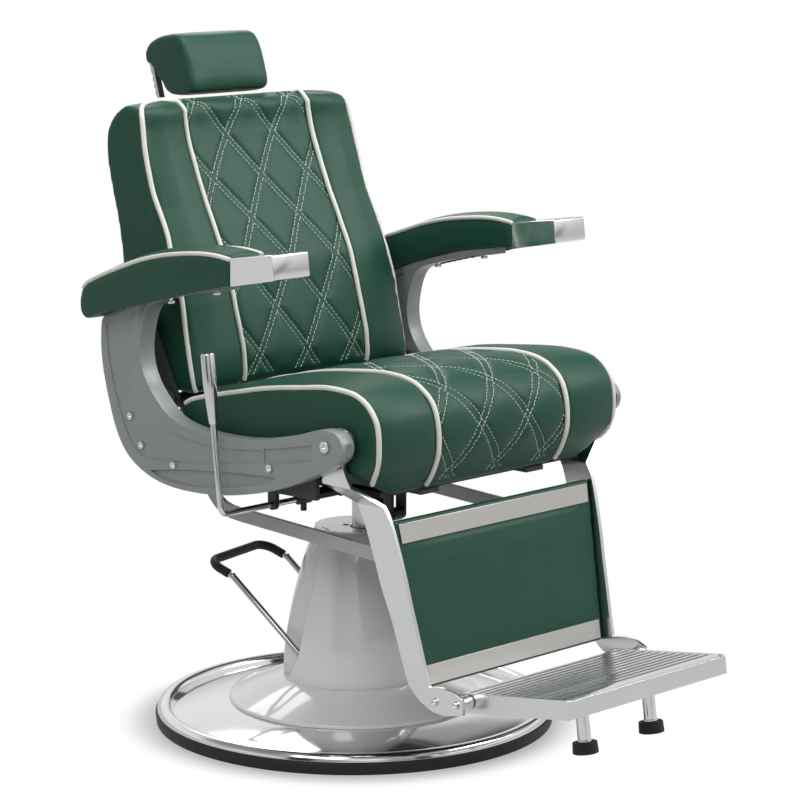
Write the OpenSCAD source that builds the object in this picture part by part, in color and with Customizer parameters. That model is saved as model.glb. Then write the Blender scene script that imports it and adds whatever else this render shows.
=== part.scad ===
// Hydraulic barber chair: round pump base, lifting ram, swivelling seat in
// cast C-shaped side frames, reclining back linked to a leg rest, flip footplate.
// Millimetres, +Z up, sitter faces -Y, floor at Z = 0, base centre at the origin.

/* [Base] */
// Radius of the round base over its rubber rim
base_r = 330; // [318:1:345]
// Height of the rubber rim
rim_h = 20; // [15:1:24]
// Radius of the spun dish round the column
dish_r = 208; // [190:1:225]
// Radius of the column cover at its foot
cover_r = 118; // [112:1:124]
// Height of the column cover's flat cap above the floor
cap_top = 327; // [318:1:332]
// Radius of the flat cap
cap_r = 65; // [60:1:70]
// How far the ram stands forward of the base's centre
ram_forward = 22; // [14:1:24]
// Radius of the ram
ram_r = 19; // [16:0.5:21]

/* [Pump pedal] */
// Turn of the pedal away from straight behind
pedal_yaw = 13.6; // [0:0.2:25]
// Slope of the pedal's rods at rest
pedal_slope = 41.2; // [36:0.2:45]
// Distance between the two rods, centre to centre
pedal_w = 164; // [160:1:170]
// Radius of the pedal's rods
pedal_rod_r = 5; // [4:0.25:6]
// Radius of the rubber grip
pedal_grip_r = 7.5; // [7:0.25:9]

/* [Seat] */
// Width of the seat cushion
seat_w = 547; // [530:1:560]
// Height of the seat board's underside
board_z = 448; // [446:0.5:452]
// Thickness of the seat board
board_t = 8; // [6:0.5:9]
// Width between the seat's inner lines of piping
seat_mid_w = 294; // [280:1:300]
// Rise of the seat's middle panel over its side panels
seat_crown = 12; // [6:0.5:16]

/* [Side frames] */
// Gap between the seat cushion's side and a side frame
frame_room = 13.5; // [12:0.5:15]
// Thickness of a side frame casting
frame_t = 31; // [26:0.5:34]
// Depth of the pockets in a side frame
pocket_d = 5; // [2:0.25:9]
// Radius of the heads of the frame screws
screw_r = 6; // [4:0.25:7]

/* [Arms] */
// Width of an arm pad
arm_w = 73; // [68:0.5:76]
// Rise of an arm pad over its piping
arm_crown = 9; // [4:0.5:12]
// Length of the chrome arm cap
cap_l = 96; // [80:1:104]

/* [Back] */
// How much narrower than the seat the back is, on each side
back_inset = 28.5; // [27:0.5:34]
// Width between the back's inner lines of piping
back_mid_w = 280; // [260:1:300]
// Rise of the back's middle panel over its side panels
back_crown = 10; // [5:0.5:14]
// Width of the headrest
head_w = 174; // [160:1:190]

/* [Recline linkage] */
// Length of the crank between the back's pivot and the link bar
crank_l = 110; // [108:0.5:112]
// Thickness of a link bar
link_t = 8; // [6:0.5:9]
// Height of a link bar
link_h = 22; // [18:0.5:26]
// Distance of a link bar's middle inside the leg panel's top corner
link_inset = 31; // [27:0.5:35]
// Extra radius of the open eye at the front of each link bar
eye_slack = 2.2; // [2:0.1:3]

/* [Leg rest] */
// Gap between the footplate's side and the leg panel's side edge
foot_room = 23.5; // [20:0.5:26]
// How much wider the leg panel is at its top, on each side
panel_flare = 17.5; // [12:0.5:19]
// Thickness of a leg arm
leg_arm_t = 6.5; // [5:0.25:7]
// Height of a bright strip across the leg panel
strip_h = 30; // [24:0.5:36]
// Width of the footplate
plate_w = 368; // [350:1:378]
// Depth of the footplate from its hinge to its front edge
plate_l = 200; // [190:1:206]
// Number of ribs across the footplate
rib_n = 13; // [9:1:15]
// Radius of a levelling foot's rubber pad
pad_r = 19; // [15:0.5:24]

/* [Fits] */
// Running clearance between a shaft and its bore, on the radius
run_fit = 0.05; // [0.02:0.01:0.1]
// Gap between parts that lie against each other
seat_gap = 0.3; // [0.3:0.05:0.5]

/* [Hidden] */
$fn = 64;

// Main pivots, as [Y, Z]
back_pivot = [165, 548];
leg_pivot = [-265, 537];
foot_pivot = [-436, 150];
crank_a = 16;
rear_pin = back_pivot + crank_l * [sin(crank_a), -cos(crank_a)];
front_pin = [-262, 349];
lock_pin_front = [-150, 376];
lever_axis = [-54, 404];

frame_in = seat_w / 2 + frame_room;
frame_out = frame_in + frame_t;
arm_in = frame_in - 9;
arm_out = arm_in + arm_w;
back_w = seat_w - 2 * back_inset;
leg_w_foot = plate_w + 2 * foot_room;
leg_w_top = leg_w_foot + 2 * panel_flare;
link_x = leg_w_top / 2 - link_inset;
pin_r = 8;
link_pin_r = 6;

green = [0.16, 0.32, 0.25];
chrome = [0.82, 0.83, 0.84];
cast_grey = [0.52, 0.54, 0.55];
steel = [0.35, 0.36, 0.38];
bright = [0.76, 0.77, 0.78];
black = [0.07, 0.07, 0.08];
white = [0.85, 0.86, 0.86];
wood = [0.62, 0.48, 0.33];

// ---------- shared helpers ----------

// Points of an arc in the plane
function arc(c, r, a0, a1, n) = [for (i = [0 : n]) let (a = a0 + (a1 - a0) * i / n) c + r * [cos(a), sin(a)]];

// One point of a smooth curve through four neighbours
function blend4(a, b, c, d, t) =
    0.5 * (2 * b + (c - a) * t + (2 * a - 5 * b + 4 * c - d) * t * t + (3 * b - a - 3 * c + d) * t * t * t);

// A smooth open curve through a list of points
function smooth(p, n) = let (m = len(p) - 1)
    [for (i = [0 : m - 1]) for (j = [0 : n - 1])
        blend4(p[max(i - 1, 0)], p[i], p[i + 1], p[min(i + 2, m)], j / n),
     p[m]];

// A smooth closed curve through a list of points
function smooth_loop(p, n) = let (m = len(p))
    [for (i = [0 : m - 1]) for (j = [0 : n - 1])
        blend4(p[(i + m - 1) % m], p[i], p[(i + 1) % m], p[(i + 2) % m], j / n)];

// An outline drawn in [Y, Z], from x0 to x1
module side(x0, x1) {
    translate([x0, 0, 0]) rotate([90, 0, 90]) linear_extrude(x1 - x0) children();
}

// A cylinder along X between x0 and x1
module rod_x(x0, x1, p, r) {
    translate([x0, p[0], p[1]]) rotate([0, 90, 0]) cylinder(r = r, h = x1 - x0);
}

// Both sides of the chair
module both() {
    children();
    mirror([1, 0, 0]) children();
}

// A solid skinned over a row of sections, each a closed list of 3-D points
module loft(secs) {
    n = len(secs[0]);
    m = len(secs);
    pts = [for (s = secs) for (p = s) p];
    skin = [for (k = [0 : m - 2]) for (i = [0 : n - 1])
        [k * n + i, k * n + (i + 1) % n, (k + 1) * n + (i + 1) % n, (k + 1) * n + i]];
    first = [for (i = [n - 1 : -1 : 0]) i];
    last = [for (i = [0 : n - 1]) (m - 1) * n + i];
    polyhedron(points = pts, faces = concat([first], skin, [last]), convexity = 6);
}

// A flat bar with round ends, drawn in [Y, Z]
module lug2d(a, b, r) {
    d = b - a;
    l = norm(d);
    translate(a) rotate(atan2(d[1], d[0])) union() {
        translate([0, -r]) square([l, 2 * r]);
        circle(r);
        translate([l, 0]) circle(r);
    }
}

// ---------- base ----------

plate_r = base_r - 12;
plate_t = 6;
hub_r = 125;
bead_r = 12;
dome_low = rim_h - 1;
dome_high = rim_h + 21;

function dome_z(r) = dome_low + (dome_high - dome_low) * (1 - pow((r - hub_r) / (base_r - 28 - hub_r), 2.6));

module base_plate() {
    color(steel) difference() {
        cylinder(r = plate_r, h = plate_t);
        for (a = [45 : 90 : 315])
            translate([0, -ram_forward, -1]) rotate(a) translate([pump_bolt_r, 0, 0])
                cylinder(r = bolt_hole_r, h = plate_t + 2);
    }
}

module rubber_rim() {
    r0 = plate_r + seat_gap;
    color(black) rotate_extrude($fn = 128)
        polygon(concat([[r0, 0], [base_r - 2, 0]], arc([base_r - 4, rim_h - 4], 4, 0, 90, 5), [[r0, rim_h]]));
}

module base_disc() {
    r_in = base_r - 28;
    steps = [for (i = [0 : 8]) hub_r + (r_in - hub_r) * i / 8];
    top = concat([for (r = steps) [r, dome_z(r)]], arc([base_r - 15, rim_h + 0.3], bead_r, 160, 0, 10));
    under = concat(arc([base_r - 15, rim_h + 0.3], bead_r - 2.5, 0, 160, 10),
        [for (i = [8 : -1 : 0]) [steps[i] + (i == 0 ? 3 : 0), dome_z(steps[i]) - 2.5]]);
    color(chrome) rotate_extrude($fn = 128)
        polygon(concat([[hub_r, plate_t + seat_gap]], top, under, [[hub_r + 3, plate_t + seat_gap]]));
}

pump_bolt_r = 78;
bolt_hole_r = 4.5;
pump_flange_r = 92;
pump_flange_t = 10;
pump_z = plate_t + seat_gap;
pump_tube_r = ram_r + 15;
gland_z = cap_top - 27;

module pump_cylinder() {
    color(steel) translate([0, -ram_forward, 0]) difference() {
        union() {
            translate([0, 0, pump_z]) cylinder(r = pump_flange_r, h = pump_flange_t);
            translate([0, 0, pump_z]) cylinder(r = pump_tube_r, h = gland_z - pump_z);
        }
        translate([0, 0, plate_t + 12]) cylinder(r = ram_r + 4, h = 400);
        for (a = [45 : 90 : 315])
            rotate(a) translate([pump_bolt_r, 0, 0]) cylinder(r = bolt_hole_r, h = 40);
    }
}

module pump_bolts() {
    color(steel) translate([0, -ram_forward, 0])
        for (a = [45 : 90 : 315])
            rotate(a) translate([pump_bolt_r, 0, 0]) {
                translate([0, 0, 1]) cylinder(r = 4.2, h = pump_z + 12);
                translate([0, 0, pump_z + pump_flange_t + seat_gap]) cylinder(r = 7.5, h = 5.5, $fn = 6);
            }
}

module ram_gland() {
    color(bright) translate([0, -ram_forward, 0]) difference() {
        translate([0, 0, gland_z + seat_gap]) cylinder(r = pump_tube_r, h = 18);
        cylinder(r = ram_r + run_fit, h = 400);
    }
}

cover_z = 77;
wall = 3;
cap_z = cap_top - 3;

function cover_at(z) = cover_r - (cover_r - cap_r) * pow((z - cover_z) / (cap_z - cover_z), 1.75);

module column_dish() {
    r0 = cover_r + 1;
    r1 = dish_r - 3;
    edge_z = dome_z(dish_r) + seat_gap;
    fall = cover_z - edge_z - 5;
    skin = [for (i = [0 : 8]) [r0 + (r1 - r0) * i / 8, cover_z - fall * pow(i / 8, 1.15)]];
    color(white) rotate_extrude($fn = 128)
        polygon(concat([[cover_r - 14, cover_z]], skin, arc([r1, edge_z + 3], 3, 60, 0, 4),
            [[dish_r, edge_z], [r1, edge_z]], [for (i = [8 : -1 : 0]) skin[i] - [2, 2.5]],
            [[cover_r - 14, cover_z - 2.5]]));
}

// Side relief that lets a pedal rod swing past the cover
module rod_relief(grow) {
    front = [[76, cover_z - 20], [62, 84], [41, 118], [28, 185], [15, 290], [12, cap_top + 20]];
    back = [[200, cap_top + 20], [200, cover_z - 20]];
    x0 = pedal_w / 2 - 12 - grow;
    for (s = [0, 1]) mirror([s, 0, 0])
        side(x0, x0 + 90) polygon(concat([for (p = front) p - [grow, 0]], back));
}

module cover_form(off) {
    zs = [for (i = [0 : 12]) cover_z + seat_gap + (cap_z - cover_z - seat_gap) * i / 12];
    past = off > 0 ? 1 : 0;
    rotate_extrude($fn = 96)
        polygon(concat([[0, zs[0] - past]], [for (z = zs) [cover_at(z) - off, z - (z == zs[0] ? past : 0)]],
            [[cover_at(cap_z) - off, cap_z + past], [0, cap_z + past]]));
}

module column_cover() {
    color(white) rotate(pedal_yaw) difference() {
        cover_form(0);
        rod_relief(0);
        difference() {
            cover_form(wall);
            rod_relief(wall);
        }
        for (s = [-1, 1])
            translate([s * pedal_w / 2 - 9, 15, cover_z - 5]) cube([18, 62, 75]);
    }
}

module cover_cap() {
    color(white) difference() {
        translate([0, 0, cap_z + seat_gap]) cylinder(r = cap_r, h = 3 - seat_gap);
        translate([0, -ram_forward, 0]) cylinder(r = ram_r + 3, h = 400);
        translate([-13, 5, 0]) cylinder(r = 6, h = 400);
        translate([-56, 8, cap_z]) rotate(-20) cube([3, 26, 10], center = true);
    }
}

// Pedal pivot, in the pedal's own frame: [distance behind the centre, height]
pedal_pivot = [25, 92];

module pump_block() {
    color(steel) difference() {
        rotate(pedal_yaw) difference() {
            translate([-45, 4, pump_z + pump_flange_t + seat_gap]) cube([90, 50, 102]);
            rod_x(-60, 60, pedal_pivot, pin_r + run_fit);
        }
        translate([0, -ram_forward, 0]) cylinder(r = pump_tube_r + seat_gap, h = 400);
        for (a = [45 : 90 : 315])
            translate([0, -ram_forward, 0]) rotate(a) translate([pump_bolt_r, 0, 0]) cylinder(r = 9, h = 60);
    }
}

module pedal_shaft() {
    w = pedal_w / 2 + 8;
    color(bright) rotate(pedal_yaw) rod_x(-w, w, pedal_pivot, pin_r);
}

rod_l = 214;
bend_a = 20;
grip_l = 26;
corner_r = 26;

// Places a child at the pedal's pivot, its +Y up the rods
module at_pedal() {
    rotate(pedal_yaw) translate([0, pedal_pivot[0], pedal_pivot[1]]) rotate([pedal_slope, 0, 0]) children();
}

// Places a child past the bend, its +Y along the grip
module at_grip() {
    at_pedal() translate([0, rod_l, 0]) rotate([-bend_a, 0, 0]) children();
}

// The U of the grip: two short legs, two round corners and a crossbar
module grip_bow(r) {
    w = pedal_w / 2;
    both() {
        translate([w, 0, 0]) rotate([-90, 0, 0]) cylinder(r = r, h = grip_l);
        translate([w - corner_r, grip_l, 0]) rotate_extrude(angle = 90) translate([corner_r, 0]) circle(r);
    }
    rod_x(corner_r - w, w - corner_r, [grip_l + corner_r, 0], r);
}

module pedal_frame() {
    w = pedal_w / 2;
    color(chrome) {
        at_pedal() both() {
            difference() {
                translate([w - 6, 0, 0]) rotate([0, 90, 0]) cylinder(r = pin_r + 6, h = 12);
                translate([w - 9, 0, 0]) rotate([0, 90, 0]) cylinder(r = pin_r + seat_gap, h = 18);
            }
            translate([w, pin_r + 2, 0]) rotate([-90, 0, 0]) cylinder(r = pedal_rod_r, h = rod_l - pin_r - 2);
            translate([w, rod_l, 0]) sphere(pedal_rod_r + 0.6);
        }
        at_grip() grip_bow(pedal_rod_r);
    }
}

module pedal_grip() {
    w = pedal_w / 2;
    color(black) at_grip() difference() {
        grip_bow(pedal_grip_r);
        grip_bow(pedal_rod_r + seat_gap);
        both() translate([w, -20, 0]) rotate([-90, 0, 0]) cylinder(r = 12, h = 28);
    }
}

// ---------- lift and swivel ----------

ram_top = 428;
ram_foot = 72;
bracket_z = board_z - 16;
bracket_t = 8;
bracket_half = 142;
socket_z = 384;

module ram() {
    color(bright) translate([0, -ram_forward, ram_foot]) cylinder(r = ram_r, h = ram_top - ram_foot);
}

module seat_bracket() {
    color(steel) translate([0, -ram_forward, 0]) difference() {
        union() {
            translate([0, 0, socket_z]) cylinder(r = ram_r + 13, h = bracket_z - socket_z);
            translate([-bracket_half, -150, bracket_z]) cube([2 * bracket_half, 198, bracket_t]);
            for (a = [45 : 90 : 315])
                rotate(a) translate([ram_r + 5, 4, bracket_z]) rotate([90, 0, 0])
                    linear_extrude(8) polygon([[0, 1], [34, 1], [34, -4], [10, -40], [0, -40]]);
        }
        translate([0, 0, 300]) cylinder(r = ram_r + run_fit, h = ram_top + seat_gap - 300);
    }
}

frame_bar_z = bracket_z + bracket_t + seat_gap;
frame_bar_t = board_z - seat_gap - frame_bar_z;
side_plate_in = frame_in - 13;
side_plate_t = 8;

module seat_frame() {
    w = side_plate_in + 1;
    color(steel) {
        translate([0, 0, frame_bar_z]) {
            for (y = [-200, 0]) translate([-w, y, 0]) cube([2 * w, 40, frame_bar_t]);
            for (x = [-140, 100]) translate([x, -290, 0]) cube([40, 345, frame_bar_t]);
        }
        both() side_plate();
    }
}

frame_bolts = [[161, 481], [81, 460], [-142, 487]];
rear_bolt = [187, 525];

module side_plate() {
    difference() {
        union() {
            side(side_plate_in, side_plate_in + side_plate_t)
                polygon([[-205, 440], [60, 436], [100, 440], [100, 474],
                    [60, 480], [-120, 504], [-170, 504], [-205, 480]]);
            for (p = [frame_bolts[1], frame_bolts[2]])
                rod_x(side_plate_in, frame_in - seat_gap, p, 12);
        }
        for (p = [frame_bolts[1], frame_bolts[2]])
            rod_x(0, 400, p, bolt_hole_r);
    }
}

board_w = seat_w - 95;
board_front = -288;

module seat_board() {
    color(wood) translate([-board_w / 2, board_front, board_z]) cube([board_w, 58 - board_front, board_t]);
}

// Seat profile in [Y, Z]: rear top, over the crown, down the nose, along the base
seat_foot = board_z + board_t + seat_gap;
seat_top = [[118, 543], [97, 557], [49, 571], [-21, 587], [-90, 601], [-157, 610], [-213, 616], [-256, 615],
    [-289, 608], [-312, 592], [-326, 570], [-330, 540], [-329, 512], [-321, 484], [-309, 461]];
seat_base = [[-300, board_z + 1], [board_front - 1, board_z + 1], [board_front - 1, seat_foot],
    [60, seat_foot], [112, 500], [120, 522]];
seat_loop = concat(smooth(seat_top, 2), seat_base);
seat_seam = seat_mid_w / seat_w;
seat_x = [0, 0.3, 0.45, seat_seam - 0.02, seat_seam, seat_seam + 0.02, 0.66, 0.76, 0.86, 0.93, 0.98, 1];

// Swelling of the cushion across its width: middle panel, seam, side panel, edge
function swell(t, mid) = let (u = (t - mid) / (1 - mid))
    t < mid ? 0.75 + 0.25 * cos(90 * t / mid) : 0.6 - 0.6 * pow(u, 1.6) + 0.4 * sin(180 * u);

function seat_point(p, t) = let (
    up = max(0, min(1, (p[1] - 470) / 60)) * (p[0] > 80 ? max(0, (118 - p[0]) / 38) : 1),
    v = p - [-100, 500],
    s = swell(t, seat_seam) - (t == seat_seam ? 0.35 : 0) - (t > 0.97 ? (t - 0.97) * 8 : 0),
    low = max(0, min(1, (500 - p[1]) / 44)),
    lift = 34 * low * pow(max(0, (t - 0.8) / 0.2), 1.1)) p + v / norm(v) * seat_crown * s * up + [0, lift];

function mirrored(xs) = concat([for (i = [len(xs) - 1 : -1 : 1]) -xs[i]], xs);

// A section moved to its place across the width
function at_x(x, loop) = [for (p = loop) [x, p[0], p[1]]];

module seat_cushion() {
    color(green) loft([for (t = mirrored(seat_x))
        at_x(t * seat_w / 2, [for (p = seat_loop) seat_point(p, abs(t))])]);
}

// ---------- side frames ----------

frame_nose = [-275, 536];
nose_r = 25;
nose_relief = 6;
frame_outer = [[-42, 761], [-8, 757], [37, 749.5], [96, 733.5], [145, 719.5], [194, 702.5], [232, 687],
    [249, 679]];
frame_rear = [[254, 672], [256.5, 640], [254, 605], [247, 573], [238, 542], [226, 508], [210, 479],
    [190, 458], [163, 442], [132, 431], [100, 425], [60, 422.5], [8, 424], [-40, 429], [-90, 438],
    [-140, 450], [-190, 467], [-230, 484], [-262, 499], [-281, 510]];
frame_inner = [[-277, 560], [-262, 561.5], [-240, 558], [-205, 547], [-160, 536], [-110, 526], [-60, 521],
    [-5, 520], [50, 524.5], [90, 535], [124, 561], [146, 586], [158, 612], [161, 640], [155, 672],
    [145, 697], [130, 711], [100, 722], [55, 733], [10, 742], [-42, 750]];
frame_loop = concat(frame_outer, smooth(frame_rear, 2), arc(frame_nose, nose_r, 232, 98, 8),
    smooth(frame_inner, 2));

// Sunken web between the rim and the band round the opening
web_loop = concat(
    smooth([[243, 668], [240, 625], [228, 575], [212, 530], [190, 488], [160, 463]], 3),
    smooth([[120, 462], [40, 467], [-60, 482], [-120, 492]], 2),
    smooth([[-120, 512], [-60, 505], [0, 503], [60, 508], [104, 518], [142, 548], [170, 590], [181, 640],
        [176, 680], [168, 700]], 3),
    [[205, 688]]);
slot_loop = concat(smooth([[-233, 509], [-180, 500], [-128, 493]], 2),
    smooth([[-128, 515], [-160, 520], [-233, 535]], 2));
lens_loop = concat(smooth([[140, 443], [67, 455], [-51, 467], [-155, 474]], 3),
    smooth([[-140, 464], [-73, 447], [20, 433], [92, 432], [125, 437]], 3));

module side_frame() {
    color(cast_grey) difference() {
        side(frame_in, frame_out) polygon(frame_loop);
        side(frame_out - pocket_d * 0.5, frame_out + 5) polygon(web_loop);
        side(frame_out - pocket_d, frame_out + 5) polygon(slot_loop);
        side(frame_out - pocket_d, frame_out + 5) polygon(lens_loop);
        side(frame_in - 5, frame_in + 6) polygon(web_loop);
        rod_x(frame_in - 1, frame_in + nose_relief, leg_pivot, nose_r + 14);
        for (p = concat(frame_bolts, [rear_bolt])) rod_x(0, 400, p, bolt_hole_r);
        rod_x(0, 400, leg_pivot, pin_r + run_fit);
        rod_x(0, frame_out - 8, back_pivot, pin_r + seat_gap);
        for (p = arm_screws) translate([frame_in + frame_t / 2, p[0], p[1] - 20]) cylinder(r = 3.5, h = 60);
    }
}

module side_frame_L() {
    side_frame();
}

module side_frame_R() {
    mirror([1, 0, 0]) side_frame();
}

// A socket screw along X, its head outside
module screw_x(p, x_head, l, r) {
    color(chrome) difference() {
        union() {
            rod_x(x_head, x_head + 4, p, screw_r);
            rod_x(x_head - l, x_head + 1, p, r);
        }
        rod_x(x_head + 1.5, x_head + 6, p, screw_r * 0.45);
    }
}

module frame_screws() {
    x0 = frame_out - pocket_d * 0.5 + seat_gap;
    both() {
        screw_x(frame_bolts[1], frame_out + seat_gap, frame_t + 13, 4.2);
        screw_x(frame_bolts[2], frame_out + seat_gap, frame_t + 13, 4.2);
        screw_x(frame_bolts[0], x0, frame_t - 6, 4.2);
        screw_x(rear_bolt, x0, frame_t - 6, 4.2);
    }
}

module leg_pivot_bolts() {
    both() color(chrome) difference() {
        union() {
            rod_x(frame_in - leg_arm_t - 6, frame_out + 1, leg_pivot, pin_r);
            rod_x(frame_in - leg_arm_t - 6, frame_in - leg_arm_t - 1.2, leg_pivot, pin_r + 5);
            rod_x(frame_out + seat_gap, frame_out + 5, leg_pivot, screw_r + 3);
        }
        rod_x(frame_out + 2, frame_out + 9, leg_pivot, 3.5);
    }
}

module back_pivot_pins() {
    both() color(bright) rod_x(back_w / 2 + 1, frame_out - 8 - seat_gap, back_pivot, pin_r);
}

// ---------- arms ----------

arm_screws = [[101, 719.5], [-7, 744]];
arm_front = -92;
arm_base = [[arm_front, 764.5], [-56, 763], [-22, 759.5], [37, 750.5], [96, 734.5], [145, 720.5],
    [194, 703.5], [232, 688.5], [258, 678]];
arm_top = [[268, 684], [273, 700], [268, 722], [256, 738], [236, 747], [200, 761], [163, 774], [119, 788],
    [71, 799], [24, 806], [-22, 810], [-57, 810], [arm_front, 807]];
arm_loop = concat(arm_base, smooth(arm_top, 2));
arm_x = [0, 0.35, 0.6, 0.8, 0.92, 0.97, 1];

function arm_point(p, t) = let (
    up = max(0, min(1, (p[1] - (760 - max(0, p[0]) * 0.18)) / 30)),
    edge = t > 0.95 ? 1.5 : 0) p + [0, up * (arm_crown * cos(90 * t) - edge)];

module arm_pad() {
    mid = (arm_in + arm_out) / 2;
    color(green) difference() {
        loft([for (t = mirrored(arm_x)) at_x(mid + t * arm_w / 2, [for (p = arm_loop) arm_point(p, abs(t))])]);
        for (p = arm_screws) translate([frame_in + frame_t / 2, p[0], p[1]]) cylinder(r = 3.2, h = 26);
    }
}

module arm_pad_L() {
    arm_pad();
}

module arm_pad_R() {
    mirror([1, 0, 0]) arm_pad();
}

module arm_cap() {
    y0 = arm_front - seat_gap;
    y1 = y0 - cap_l;
    color(chrome) difference() {
        side(arm_in - 0.5, arm_out + 0.5)
            polygon([[y0, 764.5], [y0, 808], [y0 - 60, 817], [y1 + 4, 821], [y1 + 2, 819], [y1 - 2, 784],
                [y1, 782.5]]);
        side(arm_in + 2.5, arm_out - 2.5)
            polygon([[y0 + 5, 767], [y0 + 5, 803.5], [y0 - 60, 814], [y1 + 7, 817.5], [y1 + 3, 786.5]]);
    }
}

module arm_cap_L() {
    arm_cap();
}

module arm_cap_R() {
    mirror([1, 0, 0]) arm_cap();
}

module arm_screws_all() {
    both() color(chrome) for (p = arm_screws)
        translate([frame_in + frame_t / 2, p[0], 0]) {
            translate([0, 0, p[1] - 5]) cylinder(r = screw_r, h = 4);
            translate([0, 0, p[1] - 2]) cylinder(r = 3, h = 24);
        }
}

// ---------- back ----------

back_front = [[110, 570], [114, 604], [122, 640], [132, 682], [139, 715], [146, 750], [160, 790], [182, 840],
    [206, 890], [228, 940], [240, 975]];
back_rear = [[288, 1012], [312, 996], [328, 972], [332, 948], [325, 902], [313, 860], [301, 815], [293, 765],
    [286, 715], [276, 650], [262, 590]];
back_loop = concat(smooth(back_front, 2), arc([262, 986], 22, 160, 80, 3), smooth(back_rear, 2),
    [[250, 560], [130, 556], [114, 560]]);
back_seam = back_mid_w / back_w;
back_x = [0, 0.3, 0.45, back_seam - 0.025, back_seam, back_seam + 0.025, 0.7, 0.8, 0.9, 0.97, 1];

function back_point(p, t) = let (
    face = max(0, min(1, (270 + (p[1] - 900) * 0.25 - p[0]) / 60)) * max(0, min(1, (p[1] - 560) / 30)),
    top = max(0, min(1, (p[1] - 960) / 40)),
    rise = top * (1 - pow(t, 6)) * 8 - (t > 0.97 ? 1.5 : 0),
    s = swell(t, back_seam) - (t == back_seam ? 0.35 : 0)) p + [-back_crown * s * face, rise];

module back_cushion() {
    color(green) loft([for (t = mirrored(back_x))
        at_x(t * back_w / 2, [for (p = back_loop) back_point(p, abs(t))])]);
}

module back_panel() {
    rear = smooth(back_rear, 2);
    curve = [for (p = rear) if (p[1] < 950 && p[1] > 600) p];
    inner = [for (i = [len(curve) - 1 : -1 : 0]) curve[i] + [seat_gap + 0.05, 0]];
    color(green) side(22 - back_w / 2, back_w / 2 - 22) polygon(concat([for (p = curve) p + [5, 0]], inner));
}

tube_c = back_pivot + [35, -13];
bracket_x = back_w / 2 + seat_gap;
bracket_w = 8;

// Bracket on the back's side, with the hub that turns on the pivot pin
module back_bracket() {
    difference() {
        union() {
            side(bracket_x, bracket_x + bracket_w) union() {
                lug2d(back_pivot, [225, 660], 18);
                lug2d(back_pivot, tube_c, 18);
            }
            rod_x(bracket_x, frame_in - seat_gap, back_pivot, 15);
        }
        rod_x(0, 400, back_pivot, pin_r + run_fit);
    }
}

lock_x = -56;
lock_crank = 85;
lock_a = 35.3;
lock_tilt = 15.3;
lock_dir = [cos(lock_tilt), sin(lock_tilt)];
lock_pin_rear = back_pivot + lock_crank * [sin(lock_a), -cos(lock_a)];
lock_l = (lock_pin_rear - lock_pin_front) * lock_dir;
crank_t = 7;
crank_x = link_x - link_t / 2 - seat_gap - crank_t;

module back_frame() {
    w = bracket_x + bracket_w - 1;
    color(steel) {
        both() back_bracket();
        difference() {
            union() {
                rod_x(-w, w, tube_c, 12);
                both() side(crank_x, crank_x + crank_t) lug2d(tube_c, rear_pin, 14);
                for (x = [lock_x - 16, lock_x + 10]) side(x, x + 6) lug2d(tube_c, lock_pin_rear, 12);
            }
            both() rod_x(crank_x - 5, crank_x + 12, rear_pin, link_pin_r + run_fit);
            rod_x(lock_x - 20, lock_x + 20, lock_pin_rear, 5 + run_fit);
        }
    }
}

module link_pins_rear() {
    both() color(bright) {
        rod_x(crank_x - 2, link_x + link_t / 2 + 3, rear_pin, link_pin_r);
        rod_x(crank_x - 5, crank_x - seat_gap, rear_pin, link_pin_r + 3);
        rod_x(link_x + link_t / 2 + seat_gap, link_x + link_t / 2 + 4, rear_pin, link_pin_r + 3);
    }
}

// ---------- headrest ----------

bar_x = head_w / 2 - 11;
bar_top = [396, 1056];
bar_l = 278;
bar_lean = 16.7;
bar_w = 12;
bar_t = 8;
socket_l = 84;
socket_at = 124;
bar_in = 30;

// Local frame of the headrest bars: origin at their tops, +Z along the slide
module at_bar() {
    translate([0, bar_top[0], bar_top[1]]) rotate([-bar_lean, 0, 0]) children();
}

module headrest_sockets() {
    y0 = -17.5;
    color(chrome) at_bar() both() difference() {
        union() {
            translate([bar_x - bar_w / 2 - 5, y0, -socket_at - socket_l])
                cube([bar_w + 10, bar_t / 2 + 5 - y0, socket_l]);
            translate([bar_x - bar_w / 2 - 15, y0, -socket_at - socket_l]) cube([bar_w + 30, 4, socket_l]);
        }
        translate([bar_x - bar_w / 2 - seat_gap, -bar_t / 2 - seat_gap, -socket_at - socket_l - 5])
            cube([bar_w + 2 * seat_gap, bar_t + 2 * seat_gap, socket_l + 10]);
    }
}

module headrest_bars() {
    color(chrome) at_bar() both() difference() {
        translate([bar_x - bar_w / 2, -bar_t / 2, -bar_l]) cube([bar_w, bar_t, bar_l + bar_in]);
        for (i = [1 : 9]) translate([bar_x - bar_w, bar_t / 2 - 2, -i * 12]) cube([2 * bar_w, 5, 4]);
    }
}

head_front = [[346, 1016], [318, 1017], [294, 1022], [288, 1034], [294, 1056], [304, 1086], [316, 1108],
    [330, 1118], [358, 1117], [388, 1109], [407, 1097], [413, 1081], [404, 1066], [384, 1056],
    [372, 1040], [362, 1024]];
head_mid = [345, 1068];
head_x = [0, 0.5, 0.8, 0.92, 0.98, 1];

function head_point(p, t) = let (k = t > 0.9 ? 1 - pow((t - 0.9) * 10, 2) * 0.07 : 1)
    head_mid + (p - head_mid) * k;

module headrest_pad() {
    loop = smooth_loop(head_front, 2);
    color(green) difference() {
        loft([for (t = mirrored(head_x)) at_x(t * head_w / 2, [for (p = loop) head_point(p, abs(t))])]);
        at_bar() both() translate([bar_x - bar_w / 2 - seat_gap, -bar_t / 2 - seat_gap, -60])
            cube([bar_w + 2 * seat_gap, bar_t + 2 * seat_gap, 60 + bar_in + seat_gap]);
    }
}

// ---------- link bars ----------

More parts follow.
